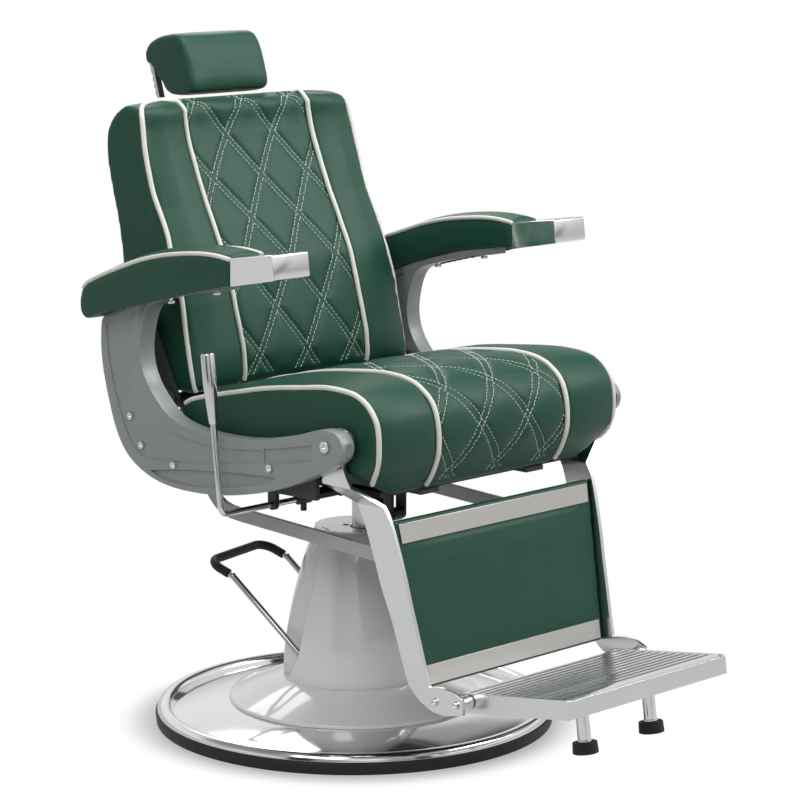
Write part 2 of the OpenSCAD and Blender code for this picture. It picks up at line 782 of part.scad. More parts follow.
link_path = concat([front_pin, [-236, 350], [60, 363.5]],
    smooth([[84, 365.5], [104, 371], [120, 382], [134, 397]], 3), [rear_pin]);

// The direction of a path at one of its points
function heading(p, i) = let (d = p[min(i + 1, len(p) - 1)] - p[max(i - 1, 0)]) d / norm(d);

// The outline of a strip with half-height h that follows a path
function strip(p, h) = concat(
    [for (i = [0 : len(p) - 1]) let (d = heading(p, i)) p[i] + h * [-d[1], d[0]]],
    [for (i = [len(p) - 1 : -1 : 0]) let (d = heading(p, i)) p[i] - h * [-d[1], d[0]]]);

module link_bar() {
    h = link_h / 2;
    color(cast_grey) difference() {
        union() {
            side(link_x - link_t / 2, link_x + link_t / 2) polygon(strip(link_path, h));
            rod_x(link_x - link_t / 2, link_x + link_t / 2, rear_pin, h + 2);
            rod_x(link_x - link_t / 2, link_x + link_t / 2, front_pin, h + 3);
        }
        rod_x(0, 400, rear_pin, link_pin_r + run_fit);
        rod_x(0, 400, front_pin, link_pin_r + eye_slack);
    }
}

module link_bar_L() {
    link_bar();
}

module link_bar_R() {
    mirror([1, 0, 0]) link_bar();
}

// ---------- leg rest ----------

leg_lean = 11.2;
leg_foot = [-341, 156];
panel_l = 259;
panel_t = 14;
strip_inset = 9;

// Local frame of the leg panel: origin at the foot of its rear face, +Z up the panel
module at_panel() {
    translate([0, leg_foot[0], leg_foot[1]]) rotate([-leg_lean, 0, 0]) children();
}

function panel_w(z) = leg_w_foot / 2 + (leg_w_top - leg_w_foot) / 2 * z / panel_l;

board_l = 9;

module leg_board() {
    w0 = panel_w(4) + 1;
    w1 = panel_w(panel_l - 4) + 2;
    color(wood) at_panel() rotate([90, 0, 0]) linear_extrude(board_l)
        polygon([[-w0, 4], [w0, 4], [w1, panel_l - 4], [-w1, panel_l - 4]]);
}

// One level of the leg pad: straight back, bulged front
function pad_ring(z, crown) = let (w = panel_w(z) - 1, y = -board_l - seat_gap) concat(
    [for (i = [0 : 8]) let (u = -1 + i / 4) [u * w, y - panel_t - crown * (1 - u * u * u * u), z]],
    [[w, y, z], [-w, y, z]]);

module leg_pad() {
    z0 = strip_h + 8;
    z1 = panel_l - strip_h - 9;
    levels = [[0, 0.3], [z0, 0.3], [z0 + 4, 3], [z0 + 30, 5], [z1 - 30, 5], [z1 - 4, 3], [z1, 0.3],
        [panel_l, 0.3]];
    color(green) at_panel() loft([for (l = levels) pad_ring(l[0], l[1])]);
}

module panel_strip(z) {
    w0 = panel_w(z) - strip_inset;
    w1 = panel_w(z + strip_h) - strip_inset;
    color(bright) at_panel() translate([0, -board_l - 2 * seat_gap - panel_t - 0.3, 0]) rotate([90, 0, 0])
        linear_extrude(2) polygon([[-w0, z], [w0, z], [w1, z + strip_h], [-w1, z + strip_h]]);
}

module panel_strips() {
    panel_strip(panel_l - strip_h - 5);
    panel_strip(4);
}

leg_rear = [[-238, 537], [-241, 520], [-238, 500], [-226, 484], [-223, 474], [-231, 460], [-252, 428],
    [-264, 398], [-278, 353], [-290, 309], [-308, 262], [-327, 196], [-338, 163], [-360, 142], [-388, 130]];
leg_toe = [[-412, 129], [-456, 138], [-456, 160], [-430, 170], [-404, 172]];
leg_face = [[-381, 168], [-371, 204], [-362, 243], [-351, 287], [-341, 332], [-329, 377], [-316, 418],
    [-304, 438], [-290, 462], [-282, 475], [-268, 500], [-276, 516], [-289, 530]];
leg_side = concat(smooth(leg_rear, 2), leg_toe, smooth(leg_face, 2), arc(leg_pivot, 24, 196, 0, 10));

// A leg arm seen from the front: foot, knee and top, as [distance from the middle, height]
leg_bends = [[leg_w_foot / 2 + 0.5, 100], [leg_w_foot / 2 + 0.5, 150], [leg_w_top / 2 + 4.5, 440],
    [frame_in - 0.8 - leg_arm_t, 474], [frame_in - 0.8 - leg_arm_t, 580]];
bend_drop = [0, 0, 0.53, 0.53, 0];
leg_out = leg_bends[1][0] + leg_arm_t;
leg_screw_p = [-392, 146];
foot_boss_r = 11;

module leg_arm() {
    front = [for (i = [4 : -1 : 0]) leg_bends[i] + leg_arm_t * [1, -bend_drop[i]]];
    color(bright) difference() {
        union() {
            intersection() {
                side(leg_bends[0][0] - 10, frame_in) polygon(leg_side);
                rotate([90, 0, 0]) linear_extrude(900, center = true) polygon(concat(leg_bends, front));
            }
            rod_x(plate_w / 2 + 2, leg_out - 1, foot_pivot, foot_boss_r);
        }
        rod_x(0, 400, leg_pivot, pin_r + run_fit);
        rod_x(0, leg_out - 2, foot_pivot, pin_r + run_fit);
        rod_x(0, 400, leg_screw_p, bolt_hole_r);
    }
}

module leg_arm_L() {
    leg_arm();
}

module leg_arm_R() {
    mirror([1, 0, 0]) leg_arm();
}

tie_c = [-287, 372];
tie_r = 9;

module leg_tie() {
    x0 = link_x - link_t / 2 - 7 - seat_gap;
    foot = leg_bends[1];
    knee = leg_bends[2];
    w = foot[0] + (knee[0] - foot[0]) * (tie_c[1] - tie_r - foot[1]) / (knee[1] - foot[1]) - 0.4;
    color(steel) difference() {
        union() {
            rod_x(-w, w, tie_c, tie_r);
            for (s = [0, 1]) mirror([s, 0, 0]) side(x0, x0 + 7) lug2d(tie_c, front_pin, 10.5);
        }
        for (s = [0, 1]) mirror([s, 0, 0]) rod_x(x0 - 5, x0 + 12, front_pin, link_pin_r + run_fit);
    }
}

module link_pins_front() {
    x0 = link_x - link_t / 2 - 7 - seat_gap;
    both() color(bright) {
        rod_x(x0 - 2, link_x + link_t / 2 + 3, front_pin, link_pin_r);
        rod_x(x0 - 5, x0 - seat_gap, front_pin, link_pin_r + 3);
        rod_x(link_x + link_t / 2 + seat_gap, link_x + link_t / 2 + 4, front_pin, link_pin_r + eye_slack + 4);
    }
}

module leg_screws() {
    both() {
        screw_x(leg_screw_p, leg_out + seat_gap, leg_arm_t + 1, 4.2);
        screw_x(foot_pivot, leg_out + 0.8, 0, screw_r - 1);
    }
}

// ---------- footplate ----------

foot_tilt = 8.4;

// Local frame of the footplate: origin on its hinge, -Y along the plate
module at_plate() {
    translate([0, foot_pivot[0], foot_pivot[1]]) rotate([-foot_tilt, 0, 0]) children();
}

deck_z = 12;
skirt = 30;
foot_x = 77;
foot_y = -128;
foot_z = -78;
foot_r = 10;
stud_r = 5;

module footplate() {
    w = plate_w / 2;
    pitch = (plate_l + 10) / rib_n;
    ribs = [for (i = [0 : rib_n - 1]) for (q = [[0, -3], [0.25, 0], [0.75, 0]])
        [20 - (i + q[0]) * pitch, deck_z + q[1]]];
    deck = concat([[20, deck_z - 3]], ribs,
        [[10 - plate_l, deck_z], [-plate_l, deck_z - 3], [-plate_l, deck_z - 10], [20, deck_z - 10]]);
    cheek = [[24, -14], [24, deck_z - 4], [20, deck_z], [2 - plate_l, deck_z], [-plate_l, deck_z - 2],
        [-plate_l, deck_z - skirt], [10, deck_z - skirt]];
    color(bright) at_plate() difference() {
        union() {
            side(-w, w) polygon(deck);
            for (s = [0, 1]) mirror([s, 0, 0]) side(w - 7, w) polygon(cheek);
            translate([-w, -plate_l, deck_z - skirt]) cube([2 * w, 7, skirt - 3]);
            for (x = [-96, -3, 90])
                translate([x, 2 - plate_l, deck_z - skirt + 6]) cube([6, plate_l + 8, skirt - 12]);
            for (s = [-1, 1]) translate([s * foot_x, foot_y, deck_z - skirt]) cylinder(r = 15, h = skirt - 4);
        }
        rod_x(-w - 5, w + 5, [0, 0], pin_r + run_fit);
        for (s = [-1, 1]) translate([s * foot_x, foot_y, -60]) {
            cylinder(r = foot_r + seat_gap, h = 60);
            cylinder(r = stud_r + run_fit, h = 68);
        }
    }
}

module foot_hinge_pin() {
    color(bright) at_plate() rod_x(2.4 - leg_out, leg_out - 2.4, [0, 0], pin_r);
}

// Screwed studs that hang from the footplate, one inside each foot
module foot_studs() {
    color(bright) at_plate() for (s = [-1, 1])
        translate([s * foot_x, foot_y, -55]) cylinder(r = stud_r, h = 63 - seat_gap);
}

// A foot: a tube that turns up and down on its stud, and its flange
module glide(x) {
    color(chrome) at_plate() translate([x, foot_y, foot_z]) difference() {
        union() {
            cylinder(r = 12, h = 6);
            cylinder(r = foot_r, h = -12 - foot_z);
        }
        translate([0, 0, -1]) cylinder(r = stud_r + run_fit, h = 100);
    }
}

module glide_pad(x) {
    color(black) at_plate() translate([x, foot_y, foot_z - 15]) difference() {
        cylinder(r1 = pad_r + 1, r2 = pad_r, h = 18);
        translate([0, 0, 15 - seat_gap]) cylinder(r = 12 + seat_gap, h = 10);
    }
}

module glide_L() {
    glide(foot_x);
}

module glide_R() {
    glide(-foot_x);
}

module glide_pad_L() {
    glide_pad(foot_x);
}

module glide_pad_R() {
    glide_pad(-foot_x);
}

// ---------- recline lock and lever ----------

eye_w = 21.4;

module lock_fork() {
    color(black) difference() {
        union() {
            for (x = [lock_x - eye_w / 2 - seat_gap - 6, lock_x + eye_w / 2 + seat_gap])
                side(x, x + 6) union() {
                translate(lock_pin_front) circle(9);
                translate(lock_pin_front - [9, 0]) square([18, bracket_z - seat_gap - lock_pin_front[1]]);
            }
            translate([lock_x - 17, lock_pin_front[0] - 9, bracket_z - 10]) cube([34, 18, 10 - seat_gap]);
        }
        rod_x(lock_x - 30, lock_x + 30, lock_pin_front, 5 + run_fit);
    }
}

module lock_fork_pin() {
    color(bright) {
        rod_x(lock_x - 20, lock_x + 20, lock_pin_front, 5);
        rod_x(lock_x - 22, lock_x - 17 - seat_gap, lock_pin_front, 7);
    }
}

// Places a child on the lock's axis: origin at the front pin, +Z along the lock
module at_lock() {
    translate([lock_x, lock_pin_front[0], lock_pin_front[1]]) rotate([lock_tilt - 90, 0, 0]) children();
}

barrel_r = 12.5;
barrel_end = 150;
lock_rod_r = 6;

module lock_barrel() {
    color(black) difference() {
        union() {
            rod_x(lock_x - eye_w / 2, lock_x + eye_w / 2, lock_pin_front, 10.5);
            at_lock() cylinder(r = 6, h = 24);
            at_lock() translate([0, 0, 20]) cylinder(r = barrel_r, h = barrel_end - 20);
            rod_x(lock_x - barrel_r - 16, lock_x, lever_axis, 9);
        }
        rod_x(lock_x - 30, lock_x + 30, lock_pin_front, 5 + run_fit);
        at_lock() translate([0, 0, 30]) cylinder(r = lock_rod_r + run_fit, h = 200);
        rod_x(lock_x - 60, lock_x - lock_rod_r - 3, lever_axis, lever_end_r + run_fit);
    }
}

// The rod's eye is slotted across the rod, to take the rise and fall of the crank pin
module lock_rod() {
    eye = lock_pin_front + lock_l * lock_dir;
    across = 3 * [-lock_dir[1], lock_dir[0]];
    color(chrome) difference() {
        union() {
            at_lock() translate([0, 0, 100]) cylinder(r = lock_rod_r, h = lock_l - 108);
            rod_x(lock_x - 9, lock_x + 9, eye, 12.5);
        }
        side(lock_x - 30, lock_x + 30) lug2d(eye - across, eye + across, 5.4);
    }
}

module lock_rear_pin() {
    color(bright) {
        rod_x(lock_x - 19, lock_x + 19, lock_pin_rear, 5);
        rod_x(lock_x + 16 + seat_gap, lock_x + 20, lock_pin_rear, 8);
    }
}

lever_r = 5;
lever_end_r = 4;
lever_x = frame_out + 22;
hang_x = frame_in - 53;
shaft_step = 148;
hanger_t = 8;
clamp_x = [-178, -152];
lever_top = 252;
lever_lean = 6.5;
lever_bend = 12;

module lever_hangers() {
    top = bracket_z - seat_gap;
    color(black) difference() {
        union() {
            for (h = [[-hang_x, hanger_t - hang_x], clamp_x]) side(h[0], h[1]) union() {
                translate(lever_axis) circle(9);
                translate([lever_axis[0] - 9, lever_axis[1]]) square([18, top - lever_axis[1]]);
            }
            translate([-hang_x, lever_axis[0] - 9, top - 6]) cube([hang_x - 110, 18, 6]);
            translate([(clamp_x[0] + clamp_x[1]) / 2, lever_axis[0], lever_axis[1] - 20])
                cylinder(r = 5, h = 14);
        }
        rod_x(-hang_x - 20, -100, lever_axis, lever_r + run_fit);
    }
}

// Local frame of the lever: origin at the outer end of its shaft, +Z up the handle
module at_lever() {
    translate([-lever_x, lever_axis[0], lever_axis[1]]) rotate([-lever_lean, 0, 0]) children();
}

module recline_lever() {
    shaft_end = lever_x - shaft_step;
    color(chrome) at_lever() {
        translate([lever_bend, 0, 0]) rotate([0, 90, 0]) cylinder(r = lever_r, h = shaft_end - lever_bend);
        translate([shaft_end - 1, 0, 0]) rotate([0, 90, 0])
            cylinder(r = lever_end_r, h = shaft_step + lock_x - 9 - lock_rod_r);
        translate([lever_bend, 0, lever_bend]) rotate([90, 0, 0]) rotate([0, 0, 180])
            rotate_extrude(angle = 90) translate([lever_bend, 0]) circle(lever_r);
        translate([0, 0, lever_bend]) cylinder(r = lever_r, h = lever_top - 40);
    }
}

module lever_grip() {
    top = lever_top;
    color(chrome) at_lever() difference() {
        rotate_extrude() polygon(concat([[0, top - 110], [6.5, top - 110], [7.5, top - 100], [11, top - 50]],
            arc([8, top - 3], 3, 0, 90, 4), [[0, top]]));
        cylinder(r = lever_r + seat_gap, h = lever_bend + top - 40 + seat_gap);
    }
}

base_plate();
rubber_rim();
base_disc();
pump_cylinder();
pump_bolts();
ram_gland();
column_dish();
column_cover();
cover_cap();
pump_block();
pedal_shaft();
pedal_frame();
pedal_grip();
ram();
seat_bracket();
seat_frame();
seat_board();
seat_cushion();
side_frame_L();
side_frame_R();
frame_screws();
leg_pivot_bolts();
back_pivot_pins();
arm_pad_L();
arm_pad_R();
arm_cap_L();
arm_cap_R();
arm_screws_all();  // arm_screws
lock_fork();
lock_fork_pin();
lock_barrel();
lever_hangers();
recline_lever();
lever_grip();
lock_rod();
back_frame();
link_pins_rear();
lock_rear_pin();
back_cushion();
back_panel();
headrest_sockets();
headrest_bars();
headrest_pad();
link_bar_L();
link_bar_R();
leg_arm_L();
leg_arm_R();
leg_tie();
link_pins_front();
leg_board();
leg_pad();
panel_strips();
leg_screws();
footplate();
foot_hinge_pin();
foot_studs();
glide_L();
glide_R();
glide_pad_L();
glide_pad_R();
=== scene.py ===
"""Dress for the hydraulic barber chair: upholstery, piping, stitching and metal finishes."""
import math
import bmesh
import bpy
import numpy as np
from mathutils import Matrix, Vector
from mathutils.bvhtree import BVHTree


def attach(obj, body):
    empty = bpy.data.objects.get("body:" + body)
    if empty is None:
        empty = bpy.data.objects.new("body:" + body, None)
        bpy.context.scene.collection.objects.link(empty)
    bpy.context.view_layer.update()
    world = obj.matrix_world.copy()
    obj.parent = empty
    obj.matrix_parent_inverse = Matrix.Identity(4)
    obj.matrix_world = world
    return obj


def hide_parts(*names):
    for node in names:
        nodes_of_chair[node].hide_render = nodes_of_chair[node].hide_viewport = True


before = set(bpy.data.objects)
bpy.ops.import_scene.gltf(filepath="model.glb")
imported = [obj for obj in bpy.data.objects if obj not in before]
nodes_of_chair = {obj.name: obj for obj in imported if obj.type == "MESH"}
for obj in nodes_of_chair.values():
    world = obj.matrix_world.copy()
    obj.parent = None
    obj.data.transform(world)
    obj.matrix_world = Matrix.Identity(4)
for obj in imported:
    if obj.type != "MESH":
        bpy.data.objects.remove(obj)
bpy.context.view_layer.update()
scene = bpy.context.scene
MM = 0.001
MERGE_GAP = 0.02 * MM


# ---------- bench tools ----------

def pick(*things):
    """Selects only these objects; the last is active."""
    bpy.ops.object.select_all(action="DESELECT")
    for thing in things:
        thing.select_set(True)
        bpy.context.view_layer.objects.active = thing


def points(thing):
    flat = np.zeros(len(thing.data.vertices) * 3)
    thing.data.vertices.foreach_get("co", flat)
    return flat.reshape(-1, 3)


def put_points(thing, spots):
    thing.data.vertices.foreach_set("co", spots.ravel())
    thing.data.update()


def outward(thing):
    flat = np.zeros(len(thing.data.vertices) * 3)
    thing.data.vertices.foreach_get("normal", flat)
    return flat.reshape(-1, 3)


def settle(thing, body, finish, smooth=None):
    """Gives a finished piece its body, finish and shading."""
    pick(thing)
    bpy.ops.object.transform_apply(location=True, rotation=True, scale=True)
    if smooth is None:
        bpy.ops.object.shade_smooth()
    else:
        bpy.ops.object.shade_smooth_by_angle(angle=math.radians(smooth))
    thing.data.materials.clear()
    thing.data.materials.append(finish)
    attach(thing, body)
    return thing


def finish_modifier(thing, kind, **settings):
    pick(thing)
    tool = thing.modifiers.new(kind.title(), kind)
    for name, value in settings.items():
        setattr(tool, name, value)
    bpy.ops.object.modifier_apply(modifier=tool.name)


def copy_of(node, name, in_rings=False):
    """A merged copy of a frame node, its flat faces made whole or, where it is turned, paired into even rings."""
    thing = bpy.data.objects.new(name, nodes_of_chair[node].data.copy())
    scene.collection.objects.link(thing)
    thing.data.materials.clear()
    pick(thing)
    if thing.data.has_custom_normals:
        bpy.ops.mesh.customdata_custom_splitnormals_clear()
    bpy.ops.object.mode_set(mode="EDIT")
    bpy.ops.mesh.select_all(action="SELECT")
    bpy.ops.mesh.remove_doubles(threshold=MERGE_GAP)
    if in_rings:
        bpy.ops.mesh.tris_convert_to_quads(face_threshold=math.radians(60), shape_threshold=math.radians(80))
    else:
        bpy.ops.mesh.dissolve_limited(angle_limit=math.radians(0.4))
    bpy.ops.object.mode_set(mode="OBJECT")
    return thing


def rounded(node, body, width, finish=None, segments=2, angle=32, smooth=20):
    """A frame node with its sharp edges broken."""
    thing = copy_of(node, node + "_dressed")
    finish_modifier(thing, "BEVEL", width=width * MM, segments=segments, limit_method="ANGLE",
                    angle_limit=math.radians(angle), harden_normals=False)
    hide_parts(node)
    return settle(thing, body, finish or FINISH_OF_SLOT[SLOT_OF[node]], smooth)


# ---------- shared effects ----------

def effect(name, inputs, outputs):
    """An empty node group with named inputs and outputs."""
    group = bpy.data.node_groups.new(name, "ShaderNodeTree")
    for label, kind, value in inputs:
        socket = group.interface.new_socket(name=label, in_out="INPUT", socket_type=kind)
        socket.default_value = value
    for label, kind in outputs:
        group.interface.new_socket(name=label, in_out="OUTPUT", socket_type=kind)
    return group, group.nodes.new("NodeGroupInput"), group.nodes.new("NodeGroupOutput")


def add(tree, kind, **settings):
    node = tree.nodes.new(kind)
    for name, value in settings.items():
        setattr(node, name, value)
    return node


def wire(tree, *pairs):
    for start, end in pairs:
        tree.links.new(start, end)


def math_node(tree, operation, a, b=None):
    node = add(tree, "ShaderNodeMath", operation=operation)
    for socket, value in zip(node.inputs, (a, b)):
        if value is None:
            continue
        if isinstance(value, (int, float)):
            socket.default_value = value
        else:
            tree.links.new(value, socket)
    return node.outputs[0]


def ranged(tree, value, span, result, smooth=True):
    """Carries a value from one span over to another, held at both ends."""
    node = add(tree, "ShaderNodeMapRange", interpolation_type="SMOOTHSTEP" if smooth else "LINEAR")
    for label, number in zip(("From Min", "From Max", "To Min", "To Max"), (*span, *result)):
        node.inputs[label].default_value = number
    wire(tree, (value, node.inputs["Value"]))
    return node.outputs["Result"]


def along_way(tree, way, bearing):
    """How far a direction points along a level bearing in degrees."""
    node = add(tree, "ShaderNodeVectorMath", operation="DOT_PRODUCT")
    node.inputs[1].default_value = (math.cos(math.radians(bearing)), math.sin(math.radians(bearing)), 0)
    wire(tree, (way, node.inputs[0]))
    return node.outputs["Value"]


def noise_at(tree, place, scale, detail=3.0, roughness=0.55):
    node = add(tree, "ShaderNodeTexNoise")
    node.inputs["Detail"].default_value = detail
    node.inputs["Roughness"].default_value = roughness
    tree.links.new(place, node.inputs["Vector"])
    if isinstance(scale, (int, float)):
        node.inputs["Scale"].default_value = scale
    else:
        tree.links.new(scale, node.inputs["Scale"])
    return node.outputs["Fac"]


def mottle_effect():
    """Slow drift of a colour between a darker and a lighter shade."""
    tree, given, out = effect("colour drift", [
        ("Colour", "NodeSocketColor", (0.5, 0.5, 0.5, 1)), ("Scale", "NodeSocketFloat", 12.0),
        ("Amount", "NodeSocketFloat", 0.1)], [("Colour", "NodeSocketColor"), ("Drift", "NodeSocketFloat")])
    place = add(tree, "ShaderNodeTexCoord").outputs["Object"]
    drift = noise_at(tree, place, given.outputs["Scale"], 4.0)
    centred = math_node(tree, "SUBTRACT", drift, 0.5)
    swing = math_node(tree, "MULTIPLY", centred, given.outputs["Amount"])
    level = math_node(tree, "ADD", swing, 1.0)
    scale = add(tree, "ShaderNodeVectorMath", operation="SCALE")
    wire(tree, (given.outputs["Colour"], scale.inputs[0]), (level, scale.inputs["Scale"]),
         (scale.outputs[0], out.inputs["Colour"]), (drift, out.inputs["Drift"]))
    return tree


def leather_effect():
    """Pebbled leather: cells, pores and soft creases."""
    tree, given, out = effect("leather grain", [
        ("Pebbles", "NodeSocketFloat", 520.0), ("Creases", "NodeSocketFloat", 22.0)],
        [("Height", "NodeSocketFloat"), ("Hollow", "NodeSocketFloat")])
    place = add(tree, "ShaderNodeTexCoord").outputs["Object"]
    cells = add(tree, "ShaderNodeTexVoronoi", feature="DISTANCE_TO_EDGE")
    wire(tree, (place, cells.inputs["Vector"]), (given.outputs["Pebbles"], cells.inputs["Scale"]))
    rim = ranged(tree, cells.outputs["Distance"], (0.0, 0.22), (0.0, 1.0))
    fine = noise_at(tree, place, 1900.0, 2.0)
    crease = noise_at(tree, place, given.outputs["Creases"], 5.0, 0.62)
    height = math_node(tree, "ADD", math_node(tree, "MULTIPLY", rim, 0.6),
                       math_node(tree, "MULTIPLY", fine, 0.25))
    total = math_node(tree, "ADD", height, math_node(tree, "MULTIPLY", crease, 0.8))
    hollow = math_node(tree, "SUBTRACT", 1.0, rim)
    wire(tree, (total, out.inputs["Height"]), (hollow, out.inputs["Hollow"]))
    return tree


def brushing_effect():
    """Fine straight lines from a belt, long along one direction."""
    tree, given, out = effect("belt lines", [
        ("Stretch", "NodeSocketVector", (8.0, 900.0, 900.0)), ("Strength", "NodeSocketFloat", 1.0)],
        [("Lines", "NodeSocketFloat")])
    place = add(tree, "ShaderNodeTexCoord").outputs["Object"]
    scale = add(tree, "ShaderNodeVectorMath", operation="MULTIPLY")
    wire(tree, (place, scale.inputs[0]), (given.outputs["Stretch"], scale.inputs[1]))
    lines = noise_at(tree, scale.outputs[0], 1.0, 3.0, 0.7)
    centred = math_node(tree, "SUBTRACT", lines, 0.5)
    wire(tree, (math_node(tree, "MULTIPLY", centred, given.outputs["Strength"]), out.inputs["Lines"]))
    return tree


def smudge_effect():
    """Faint handling marks and dust that change the gloss."""
    tree, given, out = effect("handling marks", [
        ("Gloss", "NodeSocketFloat", 0.1), ("Amount", "NodeSocketFloat", 0.05), ("Scale", "NodeSocketFloat", 9.0)],
        [("Roughness", "NodeSocketFloat")])
    place = add(tree, "ShaderNodeTexCoord").outputs["Object"]
    broad = noise_at(tree, place, given.outputs["Scale"], 6.0, 0.65)
    fine = noise_at(tree, place, 140.0, 2.0)
    both = math_node(tree, "ADD", broad, math_node(tree, "MULTIPLY", fine, 0.3))
    spread = math_node(tree, "MULTIPLY", math_node(tree, "SUBTRACT", both, 0.4), given.outputs["Amount"])
    total = math_node(tree, "ADD", given.outputs["Gloss"], spread)
    wire(tree, (math_node(tree, "MAXIMUM", total, 0.02), out.inputs["Roughness"]))
    return tree


DRIFT = mottle_effect()
LEATHER = leather_effect()
BRUSHING = brushing_effect()
SMUDGES = smudge_effect()


def blank(name, metallic=0.0, coat=0.0, coat_rough=0.1, specular=0.5):
    material = bpy.data.materials.new(name)
    material.use_nodes = True
    shader = material.node_tree.nodes["Principled BSDF"]
    shader.inputs["Metallic"].default_value = metallic
    shader.inputs["Coat Weight"].default_value = coat
    shader.inputs["Coat Roughness"].default_value = coat_rough
    shader.inputs["Specular IOR Level"].default_value = specular
    return material, material.node_tree, shader


def placed(tree, group, **values):
    node = add(tree, "ShaderNodeGroup", node_tree=group)
    for label, value in values.items():
        node.inputs[label].default_value = value
    return node


def bump(tree, shader, height, distance, strength=1.0):
    node = add(tree, "ShaderNodeBump")
    node.inputs["Distance"].default_value = distance * MM
    node.inputs["Strength"].default_value = strength
    wire(tree, (height, node.inputs["Height"]), (node.outputs["Normal"], shader.inputs["Normal"]))


def coloured(tree, shader, colour, scale, amount):
    node = placed(tree, DRIFT, Colour=(*colour, 1), Scale=scale, Amount=amount)
    wire(tree, (node.outputs["Colour"], shader.inputs["Base Color"]))
    return node


def glossed(tree, shader, gloss, amount, scale=9.0):
    node = placed(tree, SMUDGES, Gloss=gloss, Amount=amount, Scale=scale)
    wire(tree, (node.outputs["Roughness"], shader.inputs["Roughness"]))


def green_leather():
    material, tree, shader = blank("green_leather", specular=0.31)
    coloured(tree, shader, (0.009, 0.060, 0.036), 14.0, 0.22)
    glossed(tree, shader, 0.42, 0.10, 16.0)
    grain = placed(tree, LEATHER)
    bump(tree, shader, grain.outputs["Height"], 0.2, 0.5)
    return material


def piping_vinyl():
    material, tree, shader = blank("piping_vinyl", specular=0.4)
    coloured(tree, shader, (0.72, 0.70, 0.66), 40.0, 0.1)
    glossed(tree, shader, 0.42, 0.1, 60.0)
    grain = placed(tree, LEATHER, Pebbles=900.0, Creases=60.0)
    bump(tree, shader, grain.outputs["Height"], 0.15, 0.5)
    return material


def silver_thread():
    material, tree, shader = blank("silver_thread", specular=0.4)
    coloured(tree, shader, (0.60, 0.62, 0.60), 300.0, 0.3)
    glossed(tree, shader, 0.5, 0.2, 90.0)
    ply = placed(tree, BRUSHING, Stretch=(1400.0, 1400.0, 1400.0))
    bump(tree, shader, ply.outputs["Lines"], 0.1, 0.6)
    return material


def frame_enamel():
    """Grey stoved enamel over a sand casting."""
    material, tree, shader = blank("frame_enamel", coat=0.35, coat_rough=0.22)
    drift = coloured(tree, shader, (0.255, 0.273, 0.276), 7.0, 0.09)
    glossed(tree, shader, 0.36, 0.1)
    place = add(tree, "ShaderNodeTexCoord").outputs["Object"]
    waves = math_node(tree, "MULTIPLY", drift.outputs["Drift"], 0.5)
    skin = math_node(tree, "ADD", noise_at(tree, place, 150.0, 3.0), waves)
    bump(tree, shader, skin, 0.25, 0.35)
    return material


def link_enamel():
    """A paler coat of the same enamel on the flat link bars."""
    material, tree, shader = blank("link_enamel", coat=0.2, coat_rough=0.25)
    coloured(tree, shader, (0.45, 0.46, 0.47), 15.0, 0.12)
    glossed(tree, shader, 0.4, 0.12)
    place = add(tree, "ShaderNodeTexCoord").outputs["Object"]
    bump(tree, shader, noise_at(tree, place, 260.0, 2.0), 0.15, 0.3)
    return material


def white_gloss():
    """Clear-coated white on the column."""
    material, tree, shader = blank("white_gloss", coat=0.8, coat_rough=0.03)
    coloured(tree, shader, (0.82, 0.83, 0.83), 5.0, 0.05)
    glossed(tree, shader, 0.16, 0.05, 5.0)
    place = add(tree, "ShaderNodeTexCoord").outputs["Object"]
    bump(tree, shader, noise_at(tree, place, 90.0, 1.0), 0.04, 0.3)
    return material


def polished_metal(name, shade, gloss, marks=0.05, drift=0.06, lines=None, depth=0.03):
    """Bare or plated metal; lines is the stretch of its belt marks."""
    material, tree, shader = blank(name, metallic=1.0)
    coloured(tree, shader, shade, 11.0, drift)
    glossed(tree, shader, gloss, marks)
    if lines:
        belt = placed(tree, BRUSHING, Stretch=lines)
        bump(tree, shader, belt.outputs["Lines"], depth, 0.5)
    return material


def moulded_rubber():
    material, tree, shader = blank("moulded_rubber", specular=0.35)
    coloured(tree, shader, (0.012, 0.012, 0.013), 30.0, 0.4)
    glossed(tree, shader, 0.5, 0.2, 24.0)
    place = add(tree, "ShaderNodeTexCoord").outputs["Object"]
    bump(tree, shader, noise_at(tree, place, 700.0, 3.0), 0.12, 0.5)
    return material


def black_iron(name, shade, gloss):
    material, tree, shader = blank(name, metallic=0.35, specular=0.45)
    coloured(tree, shader, shade, 18.0, 0.3)
    glossed(tree, shader, gloss, 0.2, 20.0)
    place = add(tree, "ShaderNodeTexCoord").outputs["Object"]
    bump(tree, shader, noise_at(tree, place, 240.0, 4.0), 0.2, 0.5)
    return material


def ply_darkened_as_painted_shade():
    """Ply darkened almost to black: painted shade standing in for the shade under the seat."""
    material, tree, shader = blank("birch_ply", specular=0.35)
    belt = placed(tree, BRUSHING, Stretch=(6.0, 140.0, 380.0))
    blend = add(tree, "ShaderNodeMix", data_type="RGBA")
    # Both tones are kept near black as painted shade for the seat's underside.
    blend.inputs["A"].default_value = (0.030, 0.024, 0.019, 1)
    blend.inputs["B"].default_value = (0.060, 0.047, 0.037, 1)
    level = math_node(tree, "ADD", belt.outputs["Lines"], 0.5)
    wire(tree, (level, blend.inputs["Factor"]), (blend.outputs["Result"], shader.inputs["Base Color"]))
    glossed(tree, shader, 0.62, 0.15)
    bump(tree, shader, belt.outputs["Lines"], 0.2, 0.5)
    return material


